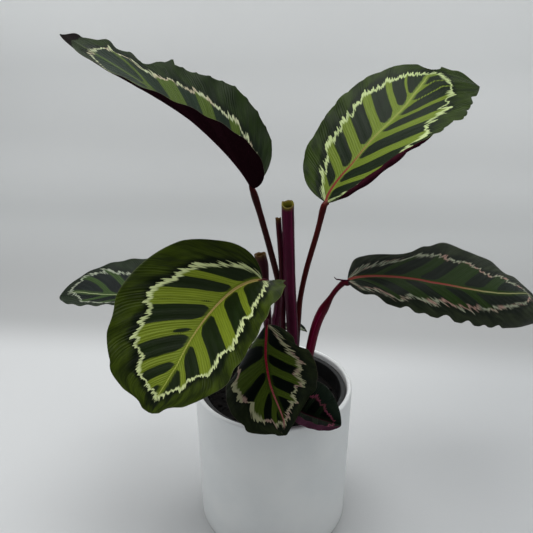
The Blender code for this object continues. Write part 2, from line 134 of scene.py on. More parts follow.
class Graph:
    """A material and the nodes that drive its shader."""

    def __init__(self, name: str, roughness: float, specular: float = 0.5) -> None:
        """Start a material with its shader.

        Args:
            name: the material's name.
            roughness: even roughness, used where nothing is linked.
            specular: specular level.
        """
        self.material = bpy.data.materials.new(name)
        self.material.use_nodes = True
        self.nodes = self.material.node_tree.nodes
        self.links = self.material.node_tree.links
        self.shader = self.nodes["Principled BSDF"]
        self.shader.inputs["Roughness"].default_value = roughness
        self.shader.inputs["Specular IOR Level"].default_value = specular

    def feed(self, socket: bpy.types.NodeSocket, value: Union[Number, Paint]) -> None:
        """Link a field to a socket, or set a number or colour on it."""
        if isinstance(value, Field):
            self.links.new(value.socket, socket)
        elif isinstance(value, tuple) and socket.type == "RGBA":
            socket.default_value = (*value, 1.0)
        else:
            socket.default_value = value

    def math(self, operation: str, *values: Number) -> Field:
        """One Math node."""
        node = self.nodes.new("ShaderNodeMath")
        node.operation = operation
        for socket, value in zip(node.inputs, values):
            self.feed(socket, value)
        return Field(self, node.outputs[0])

    def ramp(self, value: Field, low: Number, high: Number) -> Field:
        """Smooth step of a value from 0 at low to 1 at high."""
        node = self.nodes.new("ShaderNodeMapRange")
        node.interpolation_type = "SMOOTHSTEP"
        for socket, part in zip(node.inputs, (value, low, high, 0.0, 1.0)):
            self.feed(socket, part)
        return Field(self, node.outputs[0])

    def mix(self, factor: Number, first: Paint, second: Paint) -> Field:
        """Mix two colours by a factor."""
        node = self.nodes.new("ShaderNodeMix")
        node.data_type = "RGBA"
        self.feed(node.inputs[0], factor)
        self.feed(node.inputs[6], first)
        self.feed(node.inputs[7], second)
        return Field(self, node.outputs[2])

    def vector(self, x: Number, y: Number, z: Number) -> Field:
        """A vector from three numbers."""
        node = self.nodes.new("ShaderNodeCombineXYZ")
        for socket, value in zip(node.inputs, (x, y, z)):
            self.feed(socket, value)
        return Field(self, node.outputs[0])

    def place(self) -> Field:
        """The point on the surface, in metres."""
        return Field(self, self.nodes.new("ShaderNodeTexCoord").outputs["Object"])

    def split(self, vector: Field) -> tuple[Field, Field, Field]:
        """The three numbers of a vector."""
        node = self.nodes.new("ShaderNodeSeparateXYZ")
        self.feed(node.inputs[0], vector)
        return tuple(Field(self, node.outputs[i]) for i in range(3))

    def chart(self, name: str) -> tuple[Field, Field]:
        """The two numbers of a UV map."""
        node = self.nodes.new("ShaderNodeUVMap")
        node.uv_map = name
        x, y, _ = self.split(Field(self, node.outputs[0]))
        return x, y

    def noise(self, vector: Field, scale: float, detail: float = 2.0, rough: float = 0.5) -> Field:
        """Noise from 0 to 1 over a vector."""
        node = self.nodes.new("ShaderNodeTexNoise")
        self.feed(node.inputs["Vector"], vector)
        node.inputs["Scale"].default_value = scale
        node.inputs["Detail"].default_value = detail
        node.inputs["Roughness"].default_value = rough
        return Field(self, node.outputs[0])

    def finish(
        self,
        colour: Field,
        roughness: Optional[Field] = None,
        height: Optional[Field] = None,
        depth: float = 0.001,
    ) -> bpy.types.Material:
        """Link the shader's inputs.

        Args:
            colour: base colour.
            roughness: roughness, where it varies.
            height: relief from 0 to 1.
            depth: what a height of 1 stands for, in metres.

        Returns:
            The finished material.
        """
        self.feed(self.shader.inputs["Base Color"], colour)
        if roughness:
            self.feed(self.shader.inputs["Roughness"], roughness)
        if height:
            node = self.nodes.new("ShaderNodeBump")
            node.inputs["Distance"].default_value = depth
            self.feed(node.inputs["Height"], height)
            self.links.new(node.outputs[0], self.shader.inputs["Normal"])
        return self.material


# Meshes


def add_mesh(name: str, mesh: bpy.types.Mesh, materials: Sequence[bpy.types.Material]) -> bpy.types.Object:
    """Link a mesh into the scene as a new object with its materials."""
    for material in materials:
        mesh.materials.append(material)
    thing = bpy.data.objects.new(name, mesh)
    bpy.context.scene.collection.objects.link(thing)
    return thing


def claim(thing: bpy.types.Object, node: str) -> None:
    """Say which CAD node a piece stands for and what it rides on, and report it."""
    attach(thing, BODY)
    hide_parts(node)
    LOG.info("%s: %d faces, stands for %s", thing.name, len(thing.data.polygons), node)


def weld(mesh: bpy.types.Mesh) -> None:
    """Join vertices that lie on each other."""
    shape = bmesh.new()
    shape.from_mesh(mesh)
    bmesh.ops.remove_doubles(shape, verts=shape.verts, dist=MERGE)
    shape.to_mesh(mesh)
    shape.free()


def ring_faces(rows: int, steps: int) -> list[tuple[int, int, int, int]]:
    """Faces between closed rings of points.

    Args:
        rows: how many rings there are.
        steps: points of a ring.

    Returns:
        The corners of each face.
    """
    faces = []
    for low in range(0, (rows - 1) * steps, steps):
        high = low + steps
        for i in range(steps):
            after = (i + 1) % steps
            faces.append((low + i, high + i, high + after, low + after))
    return faces


def turned_mesh(name: str, profile: Profile, steps: int, sharp: float = 40.0) -> bpy.types.Mesh:
    """Turn an X-Z profile, closed on the axis at both ends, about the Z axis.

    Args:
        name: the mesh's name.
        profile: (radius, height) points, up the inside, over the rim and down the outside.
        steps: sides of the turned body.
        sharp: angle in degrees past which an edge is shaded sharp.

    Returns:
        The closed mesh.
    """
    verts = []
    for radius, height in profile:
        for i in range(steps):
            angle = 2 * pi * i / steps
            verts.append((radius * cos(angle), radius * sin(angle), height))
    mesh = bpy.data.meshes.new(name)
    mesh.from_pydata(verts, [], ring_faces(len(profile), steps))
    weld(mesh)
    mesh.shade_smooth()
    mesh.set_sharp_from_angle(angle=radians(sharp))
    return mesh


def between(start: tuple[float, float], end: tuple[float, float], steps: int) -> Profile:
    """Points on the way from a start to an end, without the start."""
    return [tuple(a + (b - a) * i / steps for a, b in zip(start, end)) for i in range(1, steps + 1)]


def arc(centre: tuple[float, float], radius: float, start: float, end: float, steps: int = 10) -> Profile:
    """Points on an arc in the X-Z plane, from start to end in degrees."""
    angles = [radians(start + (end - start) * i / steps) for i in range(steps + 1)]
    return [(centre[0] + radius * cos(a), centre[1] + radius * sin(a)) for a in angles]


# Leaves


@dataclass(frozen=True)
class Lobe:
    """Marks and margin of one lobe of a leaf. Shares run from the leaf's base to its tip.

    Attributes:
        stripes: (place, half width) of each pale stripe, as shares of the length along the midrib.
        reach: (share, reach) of the cream band, as a share of the lobe's width.
        slant: how far a vein runs forward by the margin, as a share of the length.
        spread: first and second fanning out of the veins.
        splits: (place, start, end, half width) of a dark wedge in a stripe near the midrib.
        nicks: (share, half length, depth) where the margin lies further in, as a share of the lobe.
        scallops: how many over the length, the share at which one starts, their depth as a share of the lobe.
        flap: (share, length) of the margin that rolls up and over, as a share of the lobe's width.
    """

    stripes: Pairs
    reach: Pairs
    slant: float = 0.27
    spread: tuple[float, float] = (0.0, 0.0)
    splits: tuple[tuple[float, ...], ...] = ()
    nicks: tuple[tuple[float, ...], ...] = ()
    scallops: tuple[float, float, float] = (1.0, 0.0, 0.0)
    flap: Pairs = ((0.0, 0.0),)


@dataclass(frozen=True)
class LeafFinish:
    """Colours of a leaf's two sides.

    Attributes:
        light: pale stripes.
        dark: bars between the stripes.
        glow: strip along the midrib.
        band: cream band.
        blush: second colour of the band.
        outer: dark zone outside the band.
        sheen: paler streaks of that zone.
        rib: midrib at the base.
        rib_tip: midrib towards the tip.
        under: underside.
        band_width: width of the cream band in centimetres.
        jag: how far the band's teeth reach, in centimetres.
        contrast: strength of the pale stripes.
        rib_turn: shares of the length between which the midrib changes colour.
        rib_end: share of the length at which the midrib's line fades out.
        specular: specular level.
        roughness: roughness of the upper side.
        dry_from: share of the length at which a dried tip starts.
        dry: dried tip.
    """

    light: Colour
    dark: Colour
    glow: Colour
    band: Colour
    blush: Colour
    outer: Colour
    sheen: Colour
    rib: Colour
    rib_tip: Colour
    under: Colour
    band_width: float = 0.30
    jag: float = 0.32
    contrast: float = 1.0
    rib_turn: tuple[float, float] = (0.35, 0.85)
    rib_end: float = 0.95
    roughness: float = 0.42
    specular: float = 0.07
    dry_from: float = 1.1
    dry: Colour = shade(16, 6, 7)

    def upper(self, name: str) -> bpy.types.Material:
        """Make the patterned upper side.

        Args:
            name: the material's name.

        Returns:
            The material, which reads the blade's three UV maps.
        """
        graph = Graph(name, self.roughness, self.specular)
        share, across = graph.chart("blade")
        vein, stripe = graph.chart("vein")
        inside, offset = graph.chart("band")
        reach = abs(across)
        side = graph.math("LESS_THAN", across, 0.0) * 7.3
        zigzag = graph.noise(graph.vector(vein, reach * 0.6, side), 4.2, 1.0).rise(0.30, 0.70)
        teeth = graph.noise(graph.vector(vein, reach * 0.5, side + 3.1), 10.5, 1.0).rise(0.28, 0.72)
        streak = graph.noise(graph.vector(vein, reach * 0.35, side), 13.0, 3.0, 0.6)
        thread = graph.noise(graph.vector(vein, reach * 0.25, side + 1.7), 34.0, 2.0)
        cloud = graph.noise(graph.vector(vein * 0.35, reach * 1.2, side + 5.0), 2.6, 2.0)

        edge = stripe + (streak - 0.5) * 0.16 + (teeth - 0.5) * 0.035
        pale = edge.rise(-0.04, 0.06) * self.contrast
        lines = graph.math("SINE", vein * 30.0 + zigzag * 1.8)
        line = lines.rise(0.55, 1.0) * thread.rise(0.3, 0.6)
        light = graph.mix(line * 0.45, self.light, scaled(self.light, 0.45))
        light = graph.mix(streak.rise(0.35, 0.8) * 0.5, light, scaled(self.light, 0.6))
        # Paler cloudy patches in the dark bars are a painted sheen.
        dark = graph.mix(cloud.rise(0.4, 0.75) * 0.6, self.dark, scaled(self.dark, 1.8))
        inner = graph.mix(pale, dark, light)
        near = 1.0 - (offset + (streak - 0.5) * 0.30).rise(0.10, 0.34)
        inner = graph.mix(near * 0.8, inner, self.glow)

        patch = (cloud * 0.8 + streak * 0.4).rise(0.45, 0.75)
        far = (0.0 - inside + (cloud - 0.5) * 0.9 + (streak - 0.5) * 0.4).rise(0.10, 0.75)
        outer = graph.mix(far * (patch * 0.75 + 0.25), self.outer, self.sheen)
        outer = graph.mix(thread.rise(0.35, 0.75) * 0.18, outer, scaled(self.outer, 0.5))

        border = inside + (zigzag - 0.5) * self.jag + (teeth - 0.5) * (self.jag * 0.8)
        border = border + (stripe.rise(-0.10, 0.10) - 0.5) * (self.jag * 0.7)
        within = border.rise(-0.03, 0.03)
        thick = pale * 0.10 + (teeth + zigzag) * (self.band_width * 0.5) + self.band_width * 0.5
        banded = within * (1.0 - border.rise(thick * 0.6, thick + 0.06))
        cream = graph.mix(cloud.rise(0.45, 0.6), self.band, self.blush)
        cream = graph.mix(thread.rise(0.4, 0.8) * 0.35, cream, self.light)
        paint = graph.mix(within, outer, inner)
        paint = graph.mix(banded, paint, cream)

        rib_half = 0.125 - share * 0.095
        rib = 1.0 - (offset / rib_half).rise(0.75, 1.15)
        # Painted shade: the midrib is darker down its groove.
        groove_shade = 1.0 - (offset / rib_half).rise(0.10, 0.45)
        rib_paint = graph.mix(share.rise(*self.rib_turn), self.rib, self.rib_tip)
        rib_paint = graph.mix(groove_shade * 0.45, rib_paint, scaled(self.rib, 0.45))
        paint = graph.mix(rib * (1.0 - share.rise(self.rib_end - 0.06, self.rib_end)), paint, rib_paint)
        margin = offset / graph.math("MAXIMUM", reach, 0.02) - offset
        paint = graph.mix((1.0 - margin.rise(0.010, 0.030)) * 0.14, paint, self.blush)
        dried = (share + reach * 0.02 + (cloud - 0.5) * 0.02).rise(self.dry_from, self.dry_from + 0.008)
        paint = graph.mix(dried, paint, self.dry)

        relief = lines * (pale * 0.25 + 0.05) + thread * 0.35 - rib * 0.8
        rough = streak * 0.16 + dried * 0.4 + (self.roughness - 0.08)
        return graph.finish(paint, rough, relief, 0.00028)

    def lower(self, name: str) -> bpy.types.Material:
        """Make the plain underside.

        Args:
            name: the material's name.

        Returns:
            The material, which reads the blade's UV maps.
        """
        graph = Graph(name, 0.6, 0.0)
        share, across = graph.chart("blade")
        vein, stripe = graph.chart("vein")
        _, offset = graph.chart("band")
        reach = abs(across)
        streak = graph.noise(graph.vector(vein, reach * 0.4, across), 12.0, 3.0, 0.6)
        lines = graph.math("SINE", vein * 27.0 + (streak - 0.5) * 3.0)
        paint = graph.mix(streak.rise(0.3, 0.75), scaled(self.under, 0.7), self.under)
        paint = graph.mix(stripe.rise(-0.1, 0.1) * 0.35, paint, scaled(self.under, 1.5))
        paint = graph.mix(lines.rise(0.4, 1.0) * 0.20, paint, scaled(self.under, 0.6))
        rib = 1.0 - (offset / (0.13 - share * 0.09)).rise(0.7, 1.2)
        paint = graph.mix(rib * 0.5, paint, self.rib)
        return graph.finish(paint, streak * 0.2 + 0.5, lines * 0.3 + rib, 0.0002)


@dataclass
class Leaf:
    """One leaf blade, laid over the same midrib and lobes as the CAD's, with its marks and margin.

    Angles are in degrees, and pairs are (left, right), seen from base to tip.
    """

    name: str
    base: tuple[float, float, float]
    heading: float
    sweep: float
    rise: float
    droop: float
    droop_power: float
    length: float
    width: float
    widest: float
    base_round: float
    tip_sharp: float
    lobes: tuple[float, float]
    roll: float
    twist: float
    fold: tuple[float, float]
    fold_change: tuple[float, float]
    cup: tuple[float, float]
    cup_change: tuple[float, float]
    share: tuple[float, float]
    left: Lobe
    right: Lobe
    finish: LeafFinish
    midrib: Pairs = ((0.0, 0.0), (1.0, 0.0))
    band_end: float = 0.92
    ruffle: float = 0.6
    ruffles: float = 9.0
    rows: int = 180
    columns: int = 36
    rib_samples: int = 240
    lobe_reach: float = 0.3
    thickness: float = 0.0006
    rib_depth: float = 0.0011
    rib_half: float = 0.0016
    flap_radius: float = 0.0016
    flap_turn: float = 160.0
    tail: tuple[tuple[float, float, float], ...] = ()

    def rib_direction(self, share: float) -> tuple[Vector, Vector]:
        """Direction of the midrib at a share of its length, and the direction up from it."""
        heading = radians(self.heading + self.sweep * share)
        rise = radians(self.rise - self.droop * share**self.droop_power)
        forward = Vector((cos(rise) * cos(heading), cos(rise) * sin(heading), sin(rise)))
        upward = Vector((-sin(rise) * cos(heading), -sin(rise) * sin(heading), cos(rise)))
        return forward, upward

    def rib_frames(self) -> np.ndarray:
        """Points along the midrib, each with its forward, up and left directions.

        Returns:
            An array of samples by (place, forward, normal, left) by 3.
        """
        frames = []
        place = Vector(self.base)
        step = self.length / self.rib_samples
        for i in range(self.rib_samples + 1):
            share = i / self.rib_samples
            forward, upward = self.rib_direction(share)
            turn = Matrix.Rotation(radians(self.roll + self.twist * share), 3, forward)
            normal = turn @ upward
            frames.append([tuple(place), tuple(forward), tuple(normal), tuple(normal.cross(forward))])
            place = place + self.rib_direction((i + 0.5) / self.rib_samples)[0] * step
        return np.array(frames)

    def half_width(self, share: np.ndarray) -> np.ndarray:
        """Half the blade's width at shares of its length."""
        near = np.clip(share / self.widest, 0, 1)
        past = np.clip((share - self.widest) / (1 - self.widest), 0, 1)
        first = (1 - (1 - near) ** 2) ** self.base_round
        second = (1 - past**2) ** self.tip_sharp
        return self.width / 2 * np.where(share < self.widest, first, second)

    def points(self, share: np.ndarray, across: np.ndarray) -> np.ndarray:
        """Points of the blade.

        Args:
            share: shares of the length.
            across: from -1 at the right margin, over the CAD's midrib, to 1 at the left.

        Returns:
            The points, with a last axis of 3.
        """
        frames = self.rib_frames()
        side = np.where(across > 0, 0, 1)
        reach = np.abs(across)
        width = self.half_width(share) * np.array(self.share)[side]
        lobe = np.array(self.lobes)[side]
        back = np.where(share < self.lobe_reach, lobe * np.sin(pi * share / self.lobe_reach), 0.0)
        along = share - back * reach**1.5
        spot = np.clip(along, 0, 1) * self.rib_samples
        low = np.minimum(spot.astype(int), self.rib_samples - 1)
        part = (spot - low)[..., None]
        part = part[..., None]
        place, forward, normal, left = np.moveaxis(frames[low] * (1 - part) + frames[low + 1] * part, -2, 0)
        place = place + forward * (np.minimum(along, 0) * self.length)[..., None]
        fold = np.radians(np.array(self.fold)[side] + np.array(self.fold_change)[side] * (share - 0.5))
        cup = np.radians(np.array(self.cup)[side] + np.array(self.cup_change)[side] * (share - 0.5))
        cup = np.where(np.abs(cup) < 0.001, 0.001, cup)
        outward = (np.sin(fold + cup * reach) - np.sin(fold)) / cup * np.where(side == 0, 1, -1)
        upward = (np.cos(fold) - np.cos(fold + cup * reach)) / cup
        return place + left * (outward * width)[..., None] + normal * (upward * width)[..., None]

    def marks(self, lobe: Lobe, share: np.ndarray, reach: np.ndarray, offset: np.ndarray) -> Charts:
        """Values of the three UV maps over one lobe.

        Args:
            lobe: the lobe's marks.
            share: shares of the length.
            reach: shares of the lobe's width.
            offset: distances from the midrib in metres.

        Returns:
            Each map's two numbers, with a last axis of 2; distances are in centimetres.
        """
        vein = (share - lobe.slant * reach) / (1 + lobe.spread[0] * reach + lobe.spread[1] * reach**2)
        stripe = np.full_like(vein, -1.0)
        for place, half in lobe.stripes:
            stripe = np.maximum(stripe, half - np.abs(vein - place))
        stripe = stripe + 0.04 * np.clip(1 - reach / 0.13, 0, 1) ** 1.5
        for place, start, end, half in lobe.splits:
            middle, span = (start + end) / 2, (end - start) / 2
            wedge = half * np.sqrt(np.clip(1 - ((reach - middle) / span) ** 2, 0, 1)) - np.abs(vein - place)
            stripe = np.minimum(stripe, -wedge)
        inside = (table(lobe.reach, share) - reach) * offset / np.maximum(reach, 0.001)
        width = self.half_width(share)
        inside = np.where(reach < 0.001, table(lobe.reach, share) * width, inside)
        inside = np.minimum(inside, (self.band_end - share) * self.length)
        scale = self.length * CM
        return {
            "vein": np.stack([vein * scale, stripe * scale], -1),
            "band": np.stack([inside * CM, offset * CM], -1),
        }

    def side(self, lobe: Lobe, sign: int) -> tuple[np.ndarray, Charts]:
        """Points and UV maps of one lobe, before its relief.

        Args:
            lobe: the lobe's marks and margin.
            sign: 1 for the left lobe, -1 for the right.

        Returns:
            Points by row and column, and the UV maps.
        """
        turn = np.linspace(0, 1, self.rows + 1)
        places = 0.75 * (1 - np.cos(pi * turn)) / 2 + 0.25 * turn
        share, reach = np.meshgrid(places, np.linspace(0, 1, self.columns + 1), indexing="ij")
        middle = table(self.midrib, share)
        cut = np.zeros_like(share)
        for place, half, depth in lobe.nicks:
            cut = cut + depth * bump((share - place) / half)
        count, start, deep = lobe.scallops
        cut = cut + deep * (1 - np.abs(np.sin(pi * count * (share - start)))) ** 2 * np.sin(pi * share)
        reach = reach * (1 + table(lobe.flap, share))
        near = np.minimum(reach, 1.0)
        stretch = near * (1 - cut * near**3)
        across = middle + (1 - middle) * stretch if sign > 0 else middle - (1 + middle) * stretch
        points = self.points(share, across)
        points = points + self.rolled(points, share, reach, sign)
        steps = np.linalg.norm(np.diff(points, axis=1), axis=2)
        offset = np.concatenate([np.zeros((self.rows + 1, 1)), np.cumsum(steps, axis=1)], axis=1)
        charts = self.marks(lobe, share, reach, offset)
        charts["blade"] = np.stack([share, reach * sign], -1)
        return points, charts

    def rolled(self, points: np.ndarray, share: np.ndarray, reach: np.ndarray, sign: int) -> np.ndarray:
        """How far the part past the margin's fold lies from the fold, rolled up and over.

        Args:
            points: the lobe's points, by row and column.
            share: shares of the length.
            reach: shares of the lobe's width, more than 1 past the fold.
            sign: 1 for the left lobe, -1 for the right.

        Returns:
            The offsets, zero up to the fold.
        """
        fold = np.argmax(reach >= 1.0, axis=1)
        rows = np.arange(len(points))
        out = points[rows, fold] - points[rows, fold - 3]
        out = out / np.maximum(np.linalg.norm(out, axis=1, keepdims=True), 1e-9)
        up = np.cross(np.gradient(points[:, -1], axis=0), out) * sign
        up = up / np.maximum(np.linalg.norm(up, axis=1, keepdims=True), 1e-9)
        past = np.maximum(reach - 1.0, 0.0) * self.half_width(share)
        most = radians(self.flap_turn)
        angle = np.minimum(past / self.flap_radius, most)
        rest = np.maximum(past - self.flap_radius * most, 0.0)
        along = self.flap_radius * np.sin(angle) + rest * cos(most)
        lift = self.flap_radius * (1 - np.cos(angle)) + rest * sin(most)
        return out[:, None] * along[..., None] + up[:, None] * lift[..., None]

    def relief(self, charts: Charts) -> np.ndarray:
        """Height of one lobe's waves and vein folds over the plain blade, in metres."""
        share = charts["blade"][..., 0]
        reach = np.minimum(np.abs(charts["blade"][..., 1]), 1.0)
        vein = charts["vein"][..., 0]
        body = np.sin(pi * share) ** 0.5
        wave = self.ruffle * np.sin(2 * pi * self.ruffles * share + 2.0 * np.sin(5 * share)) * reach**5
        folds = 0.16 * np.cos(vein * 9.0) * np.sin(pi * np.clip(reach, 0, 1)) ** 0.7
        return (wave + folds) * body * 0.001

    def build(self) -> bpy.types.Object:
        """Build the blade: an upper and a lower skin, joined along the margin.

        Returns:
            The finished object.
        """
        left, left_charts = self.side(self.left, 1)
        right, right_charts = self.side(self.right, -1)
        points = joined(left, right)
        lift = joined(self.relief(left_charts), self.relief(right_charts))
        points = points + self.normals(points) * lift[..., None]
        normals = self.normals(points)
        offset = joined(left_charts["band"], right_charts["band"])[..., 1] / CM
        blade = joined(left_charts["blade"], right_charts["blade"])
        share, reach = blade[..., 0], np.abs(blade[..., 1])
        half = self.thickness / 2 * (1 - 0.6 * np.minimum(reach, 1.0) ** 4)
        taper = np.clip(1 - share, 0, 1) ** 0.8 * np.clip(share * 60, 0, 1)
        rib = self.rib_depth * taper * np.exp(-((offset / (self.rib_half * (0.35 + 0.65 * taper))) ** 2))
        top = points + normals * (half - 0.25 * rib)[..., None]
        bottom = points - normals * (half + rib)[..., None]
        return self.skin(top, bottom, left_charts, right_charts)

    def normals(self, points: np.ndarray) -> np.ndarray:
        """Unit normals of the grid of points, with the pinched ends taken from the next row."""
        along = np.gradient(points, axis=0)
        over = np.gradient(points, axis=1)
        normals = np.cross(along, over)
        normals[0] = normals[1, normals.shape[1] // 2]
        normals[-1] = normals[-2, normals.shape[1] // 2]
        return normals / np.maximum(np.linalg.norm(normals, axis=2, keepdims=True), 1e-12)

    def skin(self, top: np.ndarray, bottom: np.ndarray, left: Charts, right: Charts) -> bpy.types.Object:
        """Turn the two skins into one closed mesh with its UV maps.

        Args:
            top: points of the upper side, from the right margin to the left.
            bottom: points of the underside.
            left: the left lobe's UV maps.
            right: the right lobe's UV maps.

        Returns:
            The finished object.
        """
        rows, wide = top.shape[:2]
        index = np.arange(rows * wide).reshape(rows, wide)
        quads = np.stack([index[:-1, :-1], index[1:, :-1], index[1:, 1:], index[:-1, 1:]], -1).reshape(-1, 4)
        under = quads[:, ::-1] + rows * wide
        margins = []
        for column, order in ((0, 1), (wide - 1, -1)):
            line = index[:, column]
            strip = np.stack([line[:-1], line[:-1] + rows * wide, line[1:] + rows * wide, line[1:]], -1)
            margins.append(strip[:, ::order])
        faces = np.concatenate([quads, under, *margins])
        mesh = bpy.data.meshes.new(self.name)
        verts = np.concatenate([top.reshape(-1, 3), bottom.reshape(-1, 3)])
        mesh.from_pydata(verts.tolist(), [], faces.tolist())
        sides = np.repeat([0, 1, 0], [len(quads), len(under), 2 * (rows - 1)])
        mesh.polygons.foreach_set("material_index", sides)
        on_left = (faces % (rows * wide) % wide).min(axis=1) >= self.columns
        for chart in ("blade", "vein", "band"):
            to_left = joined(left[chart], right[chart]).reshape(-1, 2)
            to_right = np.concatenate([right[chart][:, ::-1], left[chart][:, 1:]], axis=1).reshape(-1, 2)
            spots = faces % (rows * wide)
            values = np.where(on_left[:, None, None], to_left[spots], to_right[spots])
            mesh.uv_layers.new(name=chart).data.foreach_set("uv", values.reshape(-1).astype(np.float32))
        if self.tail:
            self.add_tail(mesh)
        weld(mesh)
        mesh.shade_smooth()
        materials = [self.finish.upper(self.name + "_upper"), self.finish.lower(self.name + "_under")]
        return add_mesh("blade_" + self.name, mesh, materials)

    def add_tail(self, mesh: bpy.types.Mesh, thick: float = 0.0008, sides: int = 8) -> None:
        """Add a thin dry thread that tapers along the tail's points.

        Args:
            mesh: the blade's mesh, which gets the thread.
            thick: radius at the thread's start, in metres.
            sides: sides of the thread.
        """
        shape = bmesh.new()
        shape.from_mesh(mesh)
        rings = []
        for i, point in enumerate(self.tail):
            radius = thick * (1 - 0.4 * i / (len(self.tail) - 1))
            ring = []
            for j in range(sides):
                angle = 2 * pi * j / sides
                out = Vector((0, radius * cos(angle), radius * sin(angle)))
                ring.append(shape.verts.new(Vector(point) + out))
            rings.append(ring)
        faces = [shape.faces.new(rings[0]), shape.faces.new(rings[-1][::-1])]
        for low, high in zip(rings, rings[1:]):
            for j in range(sides):
                after = (j + 1) % sides
                faces.append(shape.faces.new((low[j], high[j], high[after], low[after])))
        dry = shape.loops.layers.uv["band"]
        for face in faces:
            face.material_index = 1
            for loop in face.loops:
                loop[dry].uv = (-1.0, 1.0)
        shape.to_mesh(mesh)
        shape.free()

    def make(self) -> None:
        """Build the blade and let it stand for its CAD node."""
        claim(self.build(), "leaf_" + self.name)


# Stalks


class StalkEnd(Enum):
    """How a stalk ends at its top."""

    BLADE = "runs under its leaf blade"
    HOLLOW = "cut across and hollow"
    DRIED = "cut and dried"


@dataclass(frozen=True)
class StalkFinish:
    """Skin of a stalk or stub.

    Attributes:
        sheath: skin of the sheath, low down.
        stalk: skin of the stalk, higher up.
        lip: edge of the sheath.
        top: end of the stalk or stub.
        top_from: share of the length at which the end's colour starts.
        roughness: roughness of the skin.
    """

    sheath: Colour
    stalk: Colour
    lip: Colour
    top: Colour
    top_from: float = 0.97
    roughness: float = 0.42

    def material(self, name: str, sheath_end: float) -> bpy.types.Material:
        """Make the skin.

        Args:
            name: the material's name.
            sheath_end: share of the length at which the sheath ends.

        Returns:
            The material, which reads the stalk's UV map.
        """
        graph = Graph(name, self.roughness, 0.12)
        share, turn = graph.chart("stalk")
        around_x = graph.math("COSINE", turn * (2 * pi))
        around_y = graph.math("SINE", turn * (2 * pi))
        streak = graph.noise(graph.vector(around_x, around_y, share * 0.8), 5.0, 3.0, 0.6)
        fibre = graph.noise(graph.vector(around_x, around_y, share * 0.5), 17.0, 2.0)
        blotch = graph.noise(graph.vector(around_x * 0.5, around_y * 0.5, share * 9.0), 1.3, 2.0)
        past = (share + (streak - 0.5) * 0.2).rise(sheath_end - 0.1, sheath_end + 0.1)
        paint = graph.mix(past, self.sheath, self.stalk)
        paint = graph.mix(streak.rise(0.45, 0.8) * 0.5, paint, self.lip)
        paint = graph.mix(blotch.rise(0.3, 0.7) * 0.45, paint, scaled(self.stalk, 0.45))
        lip = 1.0 - graph.math("MINIMUM", turn, 1.0 - turn).rise(0.0, 0.035)
        lip = lip * (1.0 - share.rise(sheath_end - 0.02, sheath_end + 0.02))
        paint = graph.mix(lip * 0.7, paint, self.lip)
        edge = share + (blotch - 0.5) * 0.05 + (fibre - 0.5) * 0.03
        paint = graph.mix(edge.rise(self.top_from - 0.02, self.top_from + 0.02), paint, self.top)
        # Painted shade: darker down inside the hollow of a cut end.
        paint = graph.mix(share.rise(1.0, 1.06), paint, scaled(self.top, 0.16))
        return graph.finish(paint, fibre * 0.2 + (self.roughness - 0.1), streak + fibre * 0.5, 0.0004)


